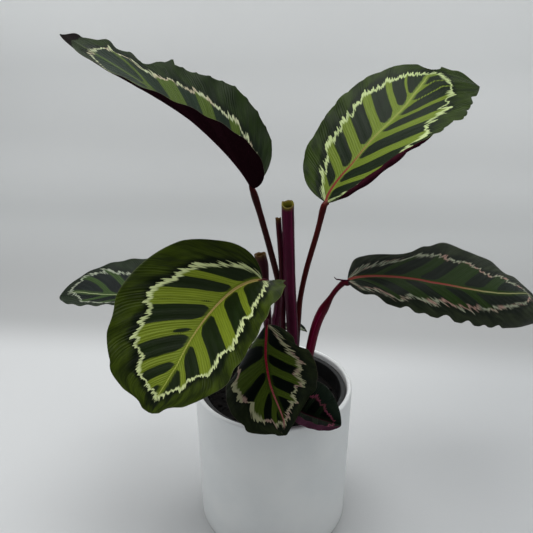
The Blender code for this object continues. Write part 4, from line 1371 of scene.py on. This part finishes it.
LEAVES = {
    "upper_left": Leaf(
        name="upper_left", base=(-0.0165, 0.000, 0.298), heading=179, sweep=13, rise=75, droop=46,
        droop_power=0.33, length=0.167, width=0.118, widest=0.31, base_round=0.58, tip_sharp=0.80,
        lobes=(0.0, 0.03), roll=-5, twist=-5, fold=(6, 5), fold_change=(-38, -26), cup=(25, 23),
        cup_change=(-8, -29), share=(1.0, 1.0),
        left=Lobe(
            stripes=((0.10, 0.030), (0.25, 0.030), (0.42, 0.018), (0.58, 0.006)),
            reach=((0.0, 0.3), (0.1, 0.55), (0.3, 1.2), (0.74, 1.2), (0.82, 0.6), (0.88, 0.3)),
            nicks=((0.97, 0.04, -0.2),),
        ),
        right=Lobe(
            stripes=((0.09, 0.030), (0.245, 0.040), (0.430, 0.055), (0.60, 0.012)),
            reach=(
                (0.0, 0.5), (0.1, 0.62), (0.55, 0.64), (0.59, 0.50), (0.67, 0.60), (0.73, 0.78),
                (0.83, 0.82), (0.88, 0.4),
            ),
            nicks=(
                (0.855, 0.06, -0.40), (0.915, 0.045, -0.35), (0.965, 0.04, -0.85), (0.685, 0.065, 0.27),
                (0.59, 0.02, -0.10), (0.34, 0.16, -0.09),
            ),
            scallops=(19.0, 0.59, -0.035),
        ),
        finish=SHADED, band_end=0.88,
    ),
    "upper_right": Leaf(
        name="upper_right", base=(0.039, 0.000, 0.287), heading=31, sweep=-8, rise=51, droop=72,
        droop_power=2.2, length=0.171, width=0.101, widest=0.41, base_round=0.49, tip_sharp=0.79,
        lobes=(0.04, 0.04), roll=15, twist=13, fold=(-8, 3), fold_change=(1, -33), cup=(14, 20),
        cup_change=(-2, -30), share=(0.99, 0.975),
        midrib=(
            (0.0, 0.15), (0.03, 0.15), (0.15, 0.05), (0.2, 0.0), (0.35, -0.03), (0.45, -0.06),
            (0.52, -0.05), (0.57, -0.02), (0.62, 0.05), (0.68, 0.16), (0.73, 0.30), (0.77, 0.47),
            (0.85, 0.58), (1.0, 0.58),
        ),
        left=Lobe(
            stripes=(
                (0.03, 0.02), (0.13, 0.026), (0.250, 0.030), (0.385, 0.024), (0.505, 0.018), (0.60, 0.008),
            ),
            reach=(
                (0.0, 0.35), (0.05, 0.43), (0.1, 0.47), (0.15, 0.54), (0.2, 0.62), (0.3, 0.67), (0.4, 0.68),
                (0.45, 0.73), (0.5, 0.74), (0.6, 0.71), (0.65, 0.67), (0.7, 0.62), (0.75, 0.45),
                (0.79, 0.25), (0.84, 0.0),
            ),
            slant=0.18, nicks=((0.825, 0.045, 1.30), (0.95, 0.05, -0.6), (0.20, 0.10, -0.04)),
            scallops=(13.0, 0.1, 0.02),
        ),
        right=Lobe(
            stripes=(
                (0.067, 0.015), (0.177, 0.027), (0.325, 0.028), (0.44, 0.016), (0.545, 0.009),
                (0.65, 0.010),
            ),
            reach=(
                (0.0, 0.5), (0.1, 0.75), (0.2, 0.82), (0.3, 0.88), (0.4, 0.82), (0.46, 0.84), (0.5, 0.69),
                (0.6, 0.67), (0.7, 0.68), (0.73, 0.58), (0.79, 0.60), (0.82, 0.45), (0.85, 0.20),
                (0.87, 0.0),
            ),
            slant=0.14, spread=(0.77, 0.35), nicks=((0.67, 0.08, -0.07), (0.89, 0.05, 0.12)),
            scallops=(14.0, 0.67, 0.04),
            flap=(
                (0.0, 0.0), (0.03, 0.09), (0.1, 0.17), (0.2, 0.17), (0.26, 0.12), (0.32, 0.09),
                (0.42, 0.05), (0.5, 0.0),
            ),
        ),
        finish=BRIGHT, band_end=0.84,
    ),
    "front_left": Leaf(
        name="front_left", base=(-0.009, -0.030, 0.236), heading=225, sweep=19, rise=31, droop=74,
        droop_power=0.4, length=0.132, width=0.109, widest=0.53, base_round=0.51, tip_sharp=0.66,
        lobes=(0.055, 0.0), roll=-21, twist=11, fold=(22, 20), fold_change=(-16, -20), cup=(14, 14),
        cup_change=(-12, -21), share=(0.97, 1.04),
        midrib=(
            (0.0, -0.03), (0.2, -0.03), (0.4, 0.0), (0.6, 0.03), (0.75, 0.07), (0.85, 0.05), (0.93, 0.0),
            (1.0, 0.0),
        ),
        left=Lobe(
            stripes=((0.165, 0.025), (0.355, 0.045), (0.560, 0.040), (0.715, 0.020)),
            reach=(
                (0.0, 0.45), (0.1, 0.56), (0.2, 0.65), (0.3, 0.69), (0.35, 0.73), (0.39, 0.70),
                (0.42, 0.64), (0.47, 0.71), (0.6, 0.73), (0.63, 0.65), (0.7, 0.69), (0.75, 0.64),
                (0.79, 0.50), (0.86, 0.41), (0.88, 0.30), (0.95, 0.05),
            ),
            slant=0.32,
            nicks=((0.80, 0.12, -0.12), (0.965, 0.035, 0.45), (0.26, 0.07, -0.05), (0.13, 0.06, 0.09)),
        ),
        right=Lobe(
            stripes=((0.16, 0.025), (0.315, 0.050), (0.51, 0.045), (0.68, 0.028), (0.80, 0.030)),
            reach=(
                (0.0, 0.42), (0.05, 0.45), (0.15, 0.50), (0.25, 0.57), (0.3, 0.63), (0.42, 0.65),
                (0.46, 0.70), (0.52, 0.70), (0.6, 0.62), (0.64, 0.65), (0.75, 0.63), (0.77, 0.55),
                (0.86, 0.52), (0.885, 0.32), (0.95, 0.05),
            ),
            slant=0.33, splits=((0.335, 0.05, 0.20, 0.005), (0.53, 0.06, 0.24, 0.011)),
            nicks=((0.15, 0.15, 0.07), (0.69, 0.08, 0.04), (0.90, 0.05, -0.08), (0.97, 0.03, 0.42)),
        ),
        finish=SUNLIT, band_end=0.94, rows=200, columns=44,
    ),
    "right": Leaf(
        name="right", base=(0.058, 0.000, 0.223), heading=-6, sweep=25, rise=6, droop=40, droop_power=1.24,
        length=0.183, width=0.074, widest=0.55, base_round=0.63, tip_sharp=0.59, lobes=(0.07, 0.0),
        roll=23, twist=8, fold=(0, -4), fold_change=(-12, -20), cup=(-2, -46), cup_change=(-11, -18),
        share=(1.06, 0.90),
        midrib=(
            (0.0, 0.25), (0.03, 0.25), (0.08, 0.2), (0.18, 0.1), (0.3, 0.0), (0.36, -0.07), (0.5, -0.13),
            (0.6, -0.13), (0.68, -0.08), (0.74, 0.0), (0.79, 0.1), (0.84, 0.25), (0.88, 0.4), (1.0, 0.4),
        ),
        left=Lobe(
            stripes=((0.11, 0.02), (0.25, 0.035), (0.42, 0.060), (0.61, 0.035)),
            reach=(
                (0.0, 0.5), (0.1, 0.61), (0.2, 0.63), (0.25, 0.67), (0.3, 0.72), (0.35, 0.77), (0.4, 0.78),
                (0.45, 0.69), (0.55, 0.66), (0.6, 0.60), (0.66, 0.48), (0.72, 0.52), (0.85, 0.44),
                (0.9, 0.2),
            ),
            nicks=((0.26, 0.11, 0.19), (0.48, 0.10, -0.12), (0.10, 0.06, -0.07), (0.79, 0.075, 0.20)),
        ),
        right=Lobe(
            stripes=((0.02, 0.02), (0.17, 0.045), (0.34, 0.045), (0.50, 0.03)),
            reach=(
                (0.0, 0.6), (0.05, 0.82), (0.12, 0.72), (0.2, 0.82), (0.26, 0.66), (0.3, 0.61), (0.4, 0.57),
                (0.45, 0.62), (0.5, 0.59), (0.6, 0.58), (0.65, 0.51), (0.75, 0.42), (0.84, 0.37),
                (0.88, 0.2),
            ),
            nicks=(
                (0.11, 0.05, 0.17), (0.245, 0.035, 0.11), (0.32, 0.03, 0.05), (0.42, 0.045, 0.14),
                (0.53, 0.035, 0.11), (0.62, 0.03, 0.06), (0.70, 0.035, 0.09),
            ),
        ),
        tail=(
            (0.0600, 0.0, 0.2230), (0.0545, -0.0010, 0.2237), (0.0510, -0.0015, 0.2246),
            (0.0490, -0.0012, 0.2247), (0.0472, -0.0010, 0.2265),
        ),
        finish=RIGHT_HAND, band_end=0.90, ruffle=0.3,
    ),
    "back_left": Leaf(
        name="back_left", base=(-0.059, 0.030, 0.185), heading=170, sweep=10, rise=10, droop=16,
        droop_power=1.0, length=0.129, width=0.090, widest=0.42, base_round=0.50, tip_sharp=0.69,
        lobes=(0.03, 0.03), roll=-4, twist=-5, fold=(16, 14), fold_change=(-13, -2), cup=(14, 10),
        cup_change=(-12, -2), share=(1.0, 1.0),
        left=Lobe(
            stripes=fan((0.12, 0.30, 0.48, 0.65), 0.030),
            reach=(
                (0.0, 0.3), (0.1, 0.5), (0.3, 0.65), (0.6, 0.70), (0.8, 0.68), (0.84, 0.45), (0.88, 0.25),
                (0.93, 0.05),
            ),
        ),
        right=Lobe(
            stripes=fan((0.12, 0.30, 0.50, 0.65), 0.025),
            reach=(
                (0.0, 0.3), (0.1, 0.5), (0.3, 0.6), (0.56, 0.64), (0.65, 0.70), (0.75, 0.86), (0.86, 0.88),
                (0.92, 0.6), (0.95, 0.2),
            ),
        ),
        midrib=((0.0, 0.0), (0.7, 0.0), (0.8, -0.06), (0.9, -0.2), (1.0, -0.2)), finish=REAR_SHADED,
        band_end=0.95, ruffle=0.8,
    ),
    "front_small": Leaf(
        name="front_small", base=(-0.006, -0.037, 0.203), heading=262, sweep=56, rise=-39, droop=26,
        droop_power=1.0, length=0.082, width=0.073, widest=0.52, base_round=0.47, tip_sharp=0.80,
        lobes=(-0.04, 0.03), roll=28, twist=-14, fold=(5, -6), fold_change=(-15, 25), cup=(-22, -36),
        cup_change=(-12, 24), share=(0.96, 1.04),
        midrib=(
            (0.0, 0.03), (0.1, 0.03), (0.2, 0.0), (0.3, -0.02), (0.55, -0.02), (0.65, 0.0), (0.88, 0.08),
            (1.0, 0.0),
        ),
        left=Lobe(
            stripes=((0.195, 0.050), (0.385, 0.045), (0.585, 0.035)),
            reach=(
                (0.0, 0.5), (0.2, 0.66), (0.28, 0.68), (0.33, 0.72), (0.42, 0.71), (0.47, 0.64),
                (0.52, 0.61), (0.6, 0.64), (0.64, 0.60), (0.67, 0.48), (0.77, 0.48), (0.81, 0.35),
                (0.9, 0.27), (0.95, 0.1),
            ),
            slant=0.33, nicks=((0.20, 0.10, 0.16), (0.69, 0.08, -0.06), (0.84, 0.06, 0.10)),
        ),
        right=Lobe(
            stripes=((0.165, 0.025), (0.343, 0.055), (0.515, 0.045), (0.67, 0.035)),
            reach=(
                (0.0, 1.3), (0.27, 1.25), (0.35, 0.87), (0.42, 0.79), (0.48, 0.75), (0.55, 0.68),
                (0.63, 0.68), (0.65, 0.53), (0.7, 0.55), (0.8, 0.58), (0.83, 0.46), (0.87, 0.34),
                (0.9, 0.2), (0.93, 0.05),
            ),
            slant=-0.3, spread=(1.5, 0.0),
            nicks=((0.33, 0.08, 0.13), (0.48, 0.08, -0.08), (0.87, 0.07, -0.17), (0.95, 0.03, 0.20)),
        ),
        finish=YOUNG, band_end=0.93, rows=150,
    ),
    "low_right": Leaf(
        name="low_right", base=(0.009, -0.037, 0.133), heading=-49, sweep=20, rise=4, droop=-1.5,
        droop_power=1.0, length=0.052, width=0.054, widest=0.49, base_round=0.50, tip_sharp=0.61,
        lobes=(0.03, 0.03), roll=41, twist=11, fold=(27, 10), fold_change=(-9, -14), cup=(-18, 135),
        cup_change=(-10, -1), share=(1.0, 0.99), left=LOW_LOBE, right=LOW_LOBE, finish=LOW, rows=110,
        columns=30, rib_depth=0.0006, rib_half=0.0010,
    ),
    "back_small": Leaf(
        name="back_small", base=(0.0060, 0.027, 0.163), heading=-8, sweep=0, rise=28, droop=50,
        droop_power=1.0, length=0.024, width=0.016, widest=0.45, base_round=0.55, tip_sharp=0.80,
        lobes=(0.0, 0.0), roll=0, twist=0, fold=(30, 30), fold_change=(-10, -10), cup=(0, 0),
        cup_change=(0, 0), share=(1.0, 1.0), left=BUD_LOBE, right=BUD_LOBE, finish=REAR_SHADED, rows=60,
        columns=16, ruffle=0.1, rib_depth=0.0003, rib_half=0.0006, thickness=0.0004,
    ),
}

MAROON = StalkFinish(
    sheath=shade(56, 8, 24), stalk=shade(54, 12, 13), lip=shade(96, 24, 32), top=shade(70, 18, 20)
)
RED = StalkFinish(
    sheath=shade(46, 8, 14), stalk=shade(72, 14, 14), lip=shade(120, 34, 32), top=shade(100, 46, 34)
)
MAGENTA = StalkFinish(
    sheath=shade(104, 8, 44), stalk=shade(76, 6, 24), lip=shade(134, 24, 70), top=shade(54, 14, 26)
)
PURPLE = StalkFinish(
    sheath=shade(74, 8, 42), stalk=shade(66, 12, 30), lip=shade(110, 32, 76), top=shade(70, 28, 30)
)
STUB = StalkFinish(
    sheath=shade(70, 6, 40), stalk=shade(66, 6, 38), lip=shade(108, 26, 66), top=shade(100, 96, 30),
    top_from=0.993,
)
DRY = StalkFinish(
    sheath=shade(64, 8, 34), stalk=shade(60, 10, 28), lip=shade(92, 40, 40), top=shade(84, 62, 30),
    top_from=0.985,
)

STALKS = (
    Stalk(
        name="upper_left", foot=(0.0080, 0.0060),
        through=(
            (0.0072, 0.0055, 0.175), (0.0055, 0.005, 0.204), (0.0020, 0.004, 0.227),
            (-0.0088, 0.001, 0.2705),
        ),
        foot_radius=0.0030, sheath_radius=0.0030, sheath_end=0.40, top_radius=0.0024, finish=MAROON,
        blade=LEAVES["upper_left"],
    ),
    Stalk(
        name="upper_right", foot=(0.0175, 0.0080),
        through=(
            (0.0190, 0.008, 0.165), (0.0206, 0.007, 0.197), (0.0250, 0.005, 0.2275),
            (0.0331, 0.002, 0.2633),
        ),
        foot_radius=0.0032, sheath_radius=0.0030, sheath_end=0.35, top_radius=0.0022, finish=RED,
        blade=LEAVES["upper_right"],
    ),
    Stalk(
        name="front_left", foot=(0.0085, -0.0100),
        through=(
            (0.0040, -0.0120, 0.150), (0.0010, -0.014, 0.191), (0.0025, -0.016, 0.2040),
            (0.0025, -0.021, 0.224),
        ),
        foot_radius=0.0032, sheath_radius=0.0030, sheath_end=0.72, top_radius=0.0021, finish=PURPLE,
        blade=LEAVES["front_left"],
    ),
    Stalk(
        name="right", foot=(0.0265, 0.0020),
        through=((0.0278, 0.002, 0.140), (0.0350, 0.002, 0.1825), (0.0457, 0.001, 0.2083)),
        foot_radius=0.0036, sheath_radius=0.0040, sheath_end=0.66, top_radius=0.0021, sink=0.0020,
        drop=0.0022, finish=MAGENTA, blade=LEAVES["right"],
    ),
    Stalk(
        name="back_left", foot=(0.0000, 0.0010),
        through=((-0.0080, 0.003, 0.142), (-0.0270, 0.014, 0.168), (-0.0440, 0.025, 0.180)),
        foot_radius=0.0028, sheath_radius=0.0026, sheath_end=0.40, top_radius=0.0017, finish=MAROON,
        blade=LEAVES["back_left"],
    ),
    Stalk(
        name="front_small", foot=(0.0010, -0.0090),
        through=((-0.0035, -0.0120, 0.145), (-0.0055, -0.0205, 0.180), (-0.0055, -0.0285, 0.199)),
        foot_radius=0.0024, sheath_radius=0.0020, sheath_end=0.45, top_radius=0.0013, finish=PURPLE,
        blade=LEAVES["front_small"],
    ),
    Stalk(
        name="low_right", foot=(0.0135, -0.0135),
        through=((0.0100, -0.0210, 0.1290), (0.0065, -0.0290, 0.1322)), foot_radius=0.0022,
        sheath_radius=0.0018, sheath_end=0.45, top_radius=0.0012, finish=PURPLE, blade=LEAVES["low_right"],
        overlap=0.003, sink=0.0006, rings=60,
    ),
    Stalk(
        name="back_small", foot=(0.0125, 0.0145),
        through=((0.0085, 0.0220, 0.138), (0.0030, 0.0265, 0.155)), foot_radius=0.0018,
        sheath_radius=0.0015, sheath_end=0.45, top_radius=0.0010, finish=MAROON,
        blade=LEAVES["back_small"], overlap=0.002, sink=0.0004, rings=70,
    ),
    Stalk(
        name="cut_tall", foot=(0.0185, -0.0030),
        through=(
            (0.0170, -0.003, 0.150), (0.0149, -0.003, 0.187), (0.0124, -0.003, 0.225),
            (0.0100, -0.003, 0.2867),
        ),
        foot_radius=0.0046, sheath_radius=0.0048, sheath_end=1.0, top_radius=0.0048, finish=STUB,
        end=StalkEnd.HOLLOW, seam=300, slant=0.0020,
    ),
    Stalk(
        name="cut_thin", foot=(0.0095, -0.0020),
        through=((0.0078, -0.001, 0.170), (0.0062, 0.001, 0.231), (0.0030, 0.002, 0.2742)),
        foot_radius=0.0024, sheath_radius=0.0022, sheath_end=1.0, top_radius=0.0020, finish=DRY,
        end=StalkEnd.DRIED,
    ),
    Stalk(
        name="cut_short", foot=(-0.0005, 0.0100),
        through=((-0.0030, 0.0130, 0.150), (-0.0075, 0.013, 0.219), (-0.0112, 0.012, 0.2409)),
        foot_radius=0.0034, sheath_radius=0.0036, sheath_end=0.80, top_radius=0.0048, finish=DRY,
        end=StalkEnd.DRIED,
    ),
)


# Studio


@dataclass
class Studio:
    """Pale floor and backdrop with painted light and shade, soft light and the camera."""

    half_width: float = 6.0
    front: float = -6.0
    turn: float = 1.00
    bend: float = 0.30
    wall_height: float = 2.7
    camera: tuple[float, float, float] = (-0.006, -0.434, 0.414)
    tilt: float = 67.6
    lens: float = 40.525
    front_sky: float = 0.18
    back_sky: float = 0.92
    power: float = 14.0
    wash: float = 4.5
    # How far the painted shade's edges run aslant across the floor.
    slant: float = 0.10
    light_and_shade_tones: tuple[tuple[tuple[float, float], Colour], ...] = (
        ((0.225, 0.345), shade(161, 162, 162)),
        ((0.42, 0.80), shade(181, 183, 183)),
        ((0.80, 1.25), shade(201, 203, 203)),
        ((1.25, 1.70), shade(235, 237, 237)),
    )

    def sweep(self) -> None:
        """A floor that curves up into a backdrop, with painted light and shade on its paper."""
        line = [(self.front + (self.turn - self.front) * i / 60, 0.0) for i in range(60)]
        line += [(self.turn + x, self.bend + z) for x, z in arc((0.0, 0.0), self.bend, -90, 0, 24)]
        line += [(self.turn + self.bend, self.bend + self.wall_height * i / 12) for i in range(1, 13)]
        columns = 60
        verts = []
        for y, z in line:
            for i in range(columns + 1):
                verts.append((self.half_width * (2 * i / columns - 1), y, z))
        faces = []
        wide = columns + 1
        for row in range(len(line) - 1):
            for i in range(columns):
                a = row * wide + i
                faces.append((a, a + 1, a + wide + 1, a + wide))
        mesh = bpy.data.meshes.new("backdrop")
        mesh.from_pydata(verts, [], faces)
        mesh.shade_smooth()
        graph = Graph("paper_with_painted_shade", 0.75, 0.2)
        cloud = graph.noise(graph.place(), 1.3, 2.0)
        grain = graph.noise(graph.place(), 500.0, 2.0)
        x, y, z = graph.split(graph.place())
        along = y + z + x * self.slant
        paint = graph.mix(cloud, shade(189, 191, 192), shade(197, 198, 198))
        # Painted shadow: darker towards the right and the front right of the floor.
        paint = graph.mix((x - y * 0.4).rise(0.0, 0.25), paint, shade(181, 183, 184))
        # Painted light and shade: darker tones behind the plant, lighter ones high up the wall.
        for (start, end), tone in self.light_and_shade_tones:
            paint = graph.mix(along.rise(start, end), paint, tone)
        # Painted shade: darker in the middle of the back, away from the sides.
        middle = along.rise(0.3, 0.9) * (1.0 - abs(x).rise(0.1, 0.8))
        paint = graph.mix(middle * 0.14, paint, (0.0, 0.0, 0.0))
        material = graph.finish(paint, cloud * 0.1 + 0.7, grain, 0.0001)
        add_mesh("backdrop", mesh, [material])

    def screens(self) -> None:
        """Plain side and front screens. They cast no shadow and throw back no light."""
        graph = Graph("screen_paper", 0.8, 0.2)
        cloud = graph.noise(graph.place(), 1.3, 2.0)
        grain = graph.noise(graph.place(), 500.0, 2.0)
        paint = graph.mix(cloud, shade(214, 216, 217), shade(221, 222, 222))
        material = graph.finish(paint, cloud * 0.1 + 0.7, grain, 0.0001)
        back = self.turn + self.bend
        wide = self.half_width
        corners = ((-wide, back), (-wide, self.front), (wide, self.front), (wide, back))
        verts = [(x, y, z) for x, y in corners for z in (0.0, self.bend + self.wall_height)]
        mesh = bpy.data.meshes.new("screens")
        mesh.from_pydata(verts, [], [(i, i + 1, i + 3, i + 2) for i in (0, 2, 4)])
        thing = add_mesh("screens", mesh, [material])
        thing.visible_diffuse = False
        thing.visible_glossy = False
        thing.visible_shadow = False

    def lamp(
        self, name: str, place: Sequence[float], aim: Sequence[float], size: tuple[float, float], power: float
    ) -> None:
        """A soft light of some width and height, aimed at a point."""
        light = bpy.data.lights.new(name, "AREA")
        light.shape = "RECTANGLE"
        light.size, light.size_y = size
        light.energy = power
        thing = bpy.data.objects.new(name, light)
        thing.visible_camera = False
        thing.location = place
        thing.rotation_euler = (Vector(aim) - Vector(place)).to_track_quat("-Z", "Y").to_euler()
        bpy.context.scene.collection.objects.link(thing)

    def light(self) -> None:
        """Soft light from above and behind, and an even sky."""
        world = bpy.data.worlds.new("soft_sky")
        world.use_nodes = True
        tree = world.node_tree
        places = tree.nodes.new("ShaderNodeTexCoord")
        axes = tree.nodes.new("ShaderNodeSeparateXYZ")
        tree.links.new(places.outputs["Generated"], axes.inputs[0])
        ramp = tree.nodes.new("ShaderNodeMapRange")
        ramp.interpolation_type = "SMOOTHSTEP"
        for socket, value in zip(ramp.inputs[1:5], (-0.9, 0.5, self.front_sky, self.back_sky)):
            socket.default_value = value
        tree.links.new(axes.outputs["Y"], ramp.inputs[0])
        sky = tree.nodes["Background"]
        sky.inputs["Color"].default_value = (0.95, 0.98, 1.0, 1.0)
        tree.links.new(ramp.outputs[0], sky.inputs["Strength"])
        bpy.context.scene.world = world
        self.lamp("overhead", (-0.12, 0.05, 1.25), (0.0, 0.05, 0.0), (1.0, 1.0), self.power)
        self.lamp("wall_wash", (0.0, 0.80, 1.15), (0.0, 1.30, 0.50), (2.8, 0.3), self.wash)
        bpy.context.scene.view_settings.view_transform = "Standard"

    def shoot(self) -> None:
        """Place the camera."""
        lens = bpy.data.cameras.new("camera")
        lens.lens = self.lens
        lens.sensor_width = 36.0
        lens.clip_start = 0.01
        camera = bpy.data.objects.new("camera", lens)
        camera.location = self.camera
        camera.rotation_euler = (radians(self.tilt), 0.0, 0.0)
        bpy.context.scene.collection.objects.link(camera)
        bpy.context.scene.camera = camera

    def make(self) -> None:
        """Set up the backdrop, lights and camera."""
        self.shoot()
        self.sweep()
        self.screens()
        self.light()
        LOG.info("studio: backdrop, lights and camera")


def main() -> None:
    """Build every piece in order and report each."""
    logging.basicConfig(level=logging.INFO, format="%(message)s")
    Studio().make()
    CoverPot().make()
    NurseryPot().make()
    Soil().make()
    Rootstock().make()
    for leaf in LEAVES.values():
        leaf.make()
    for stalk in STALKS:
        stalk.make()


if __name__ == "__main__":
    main()
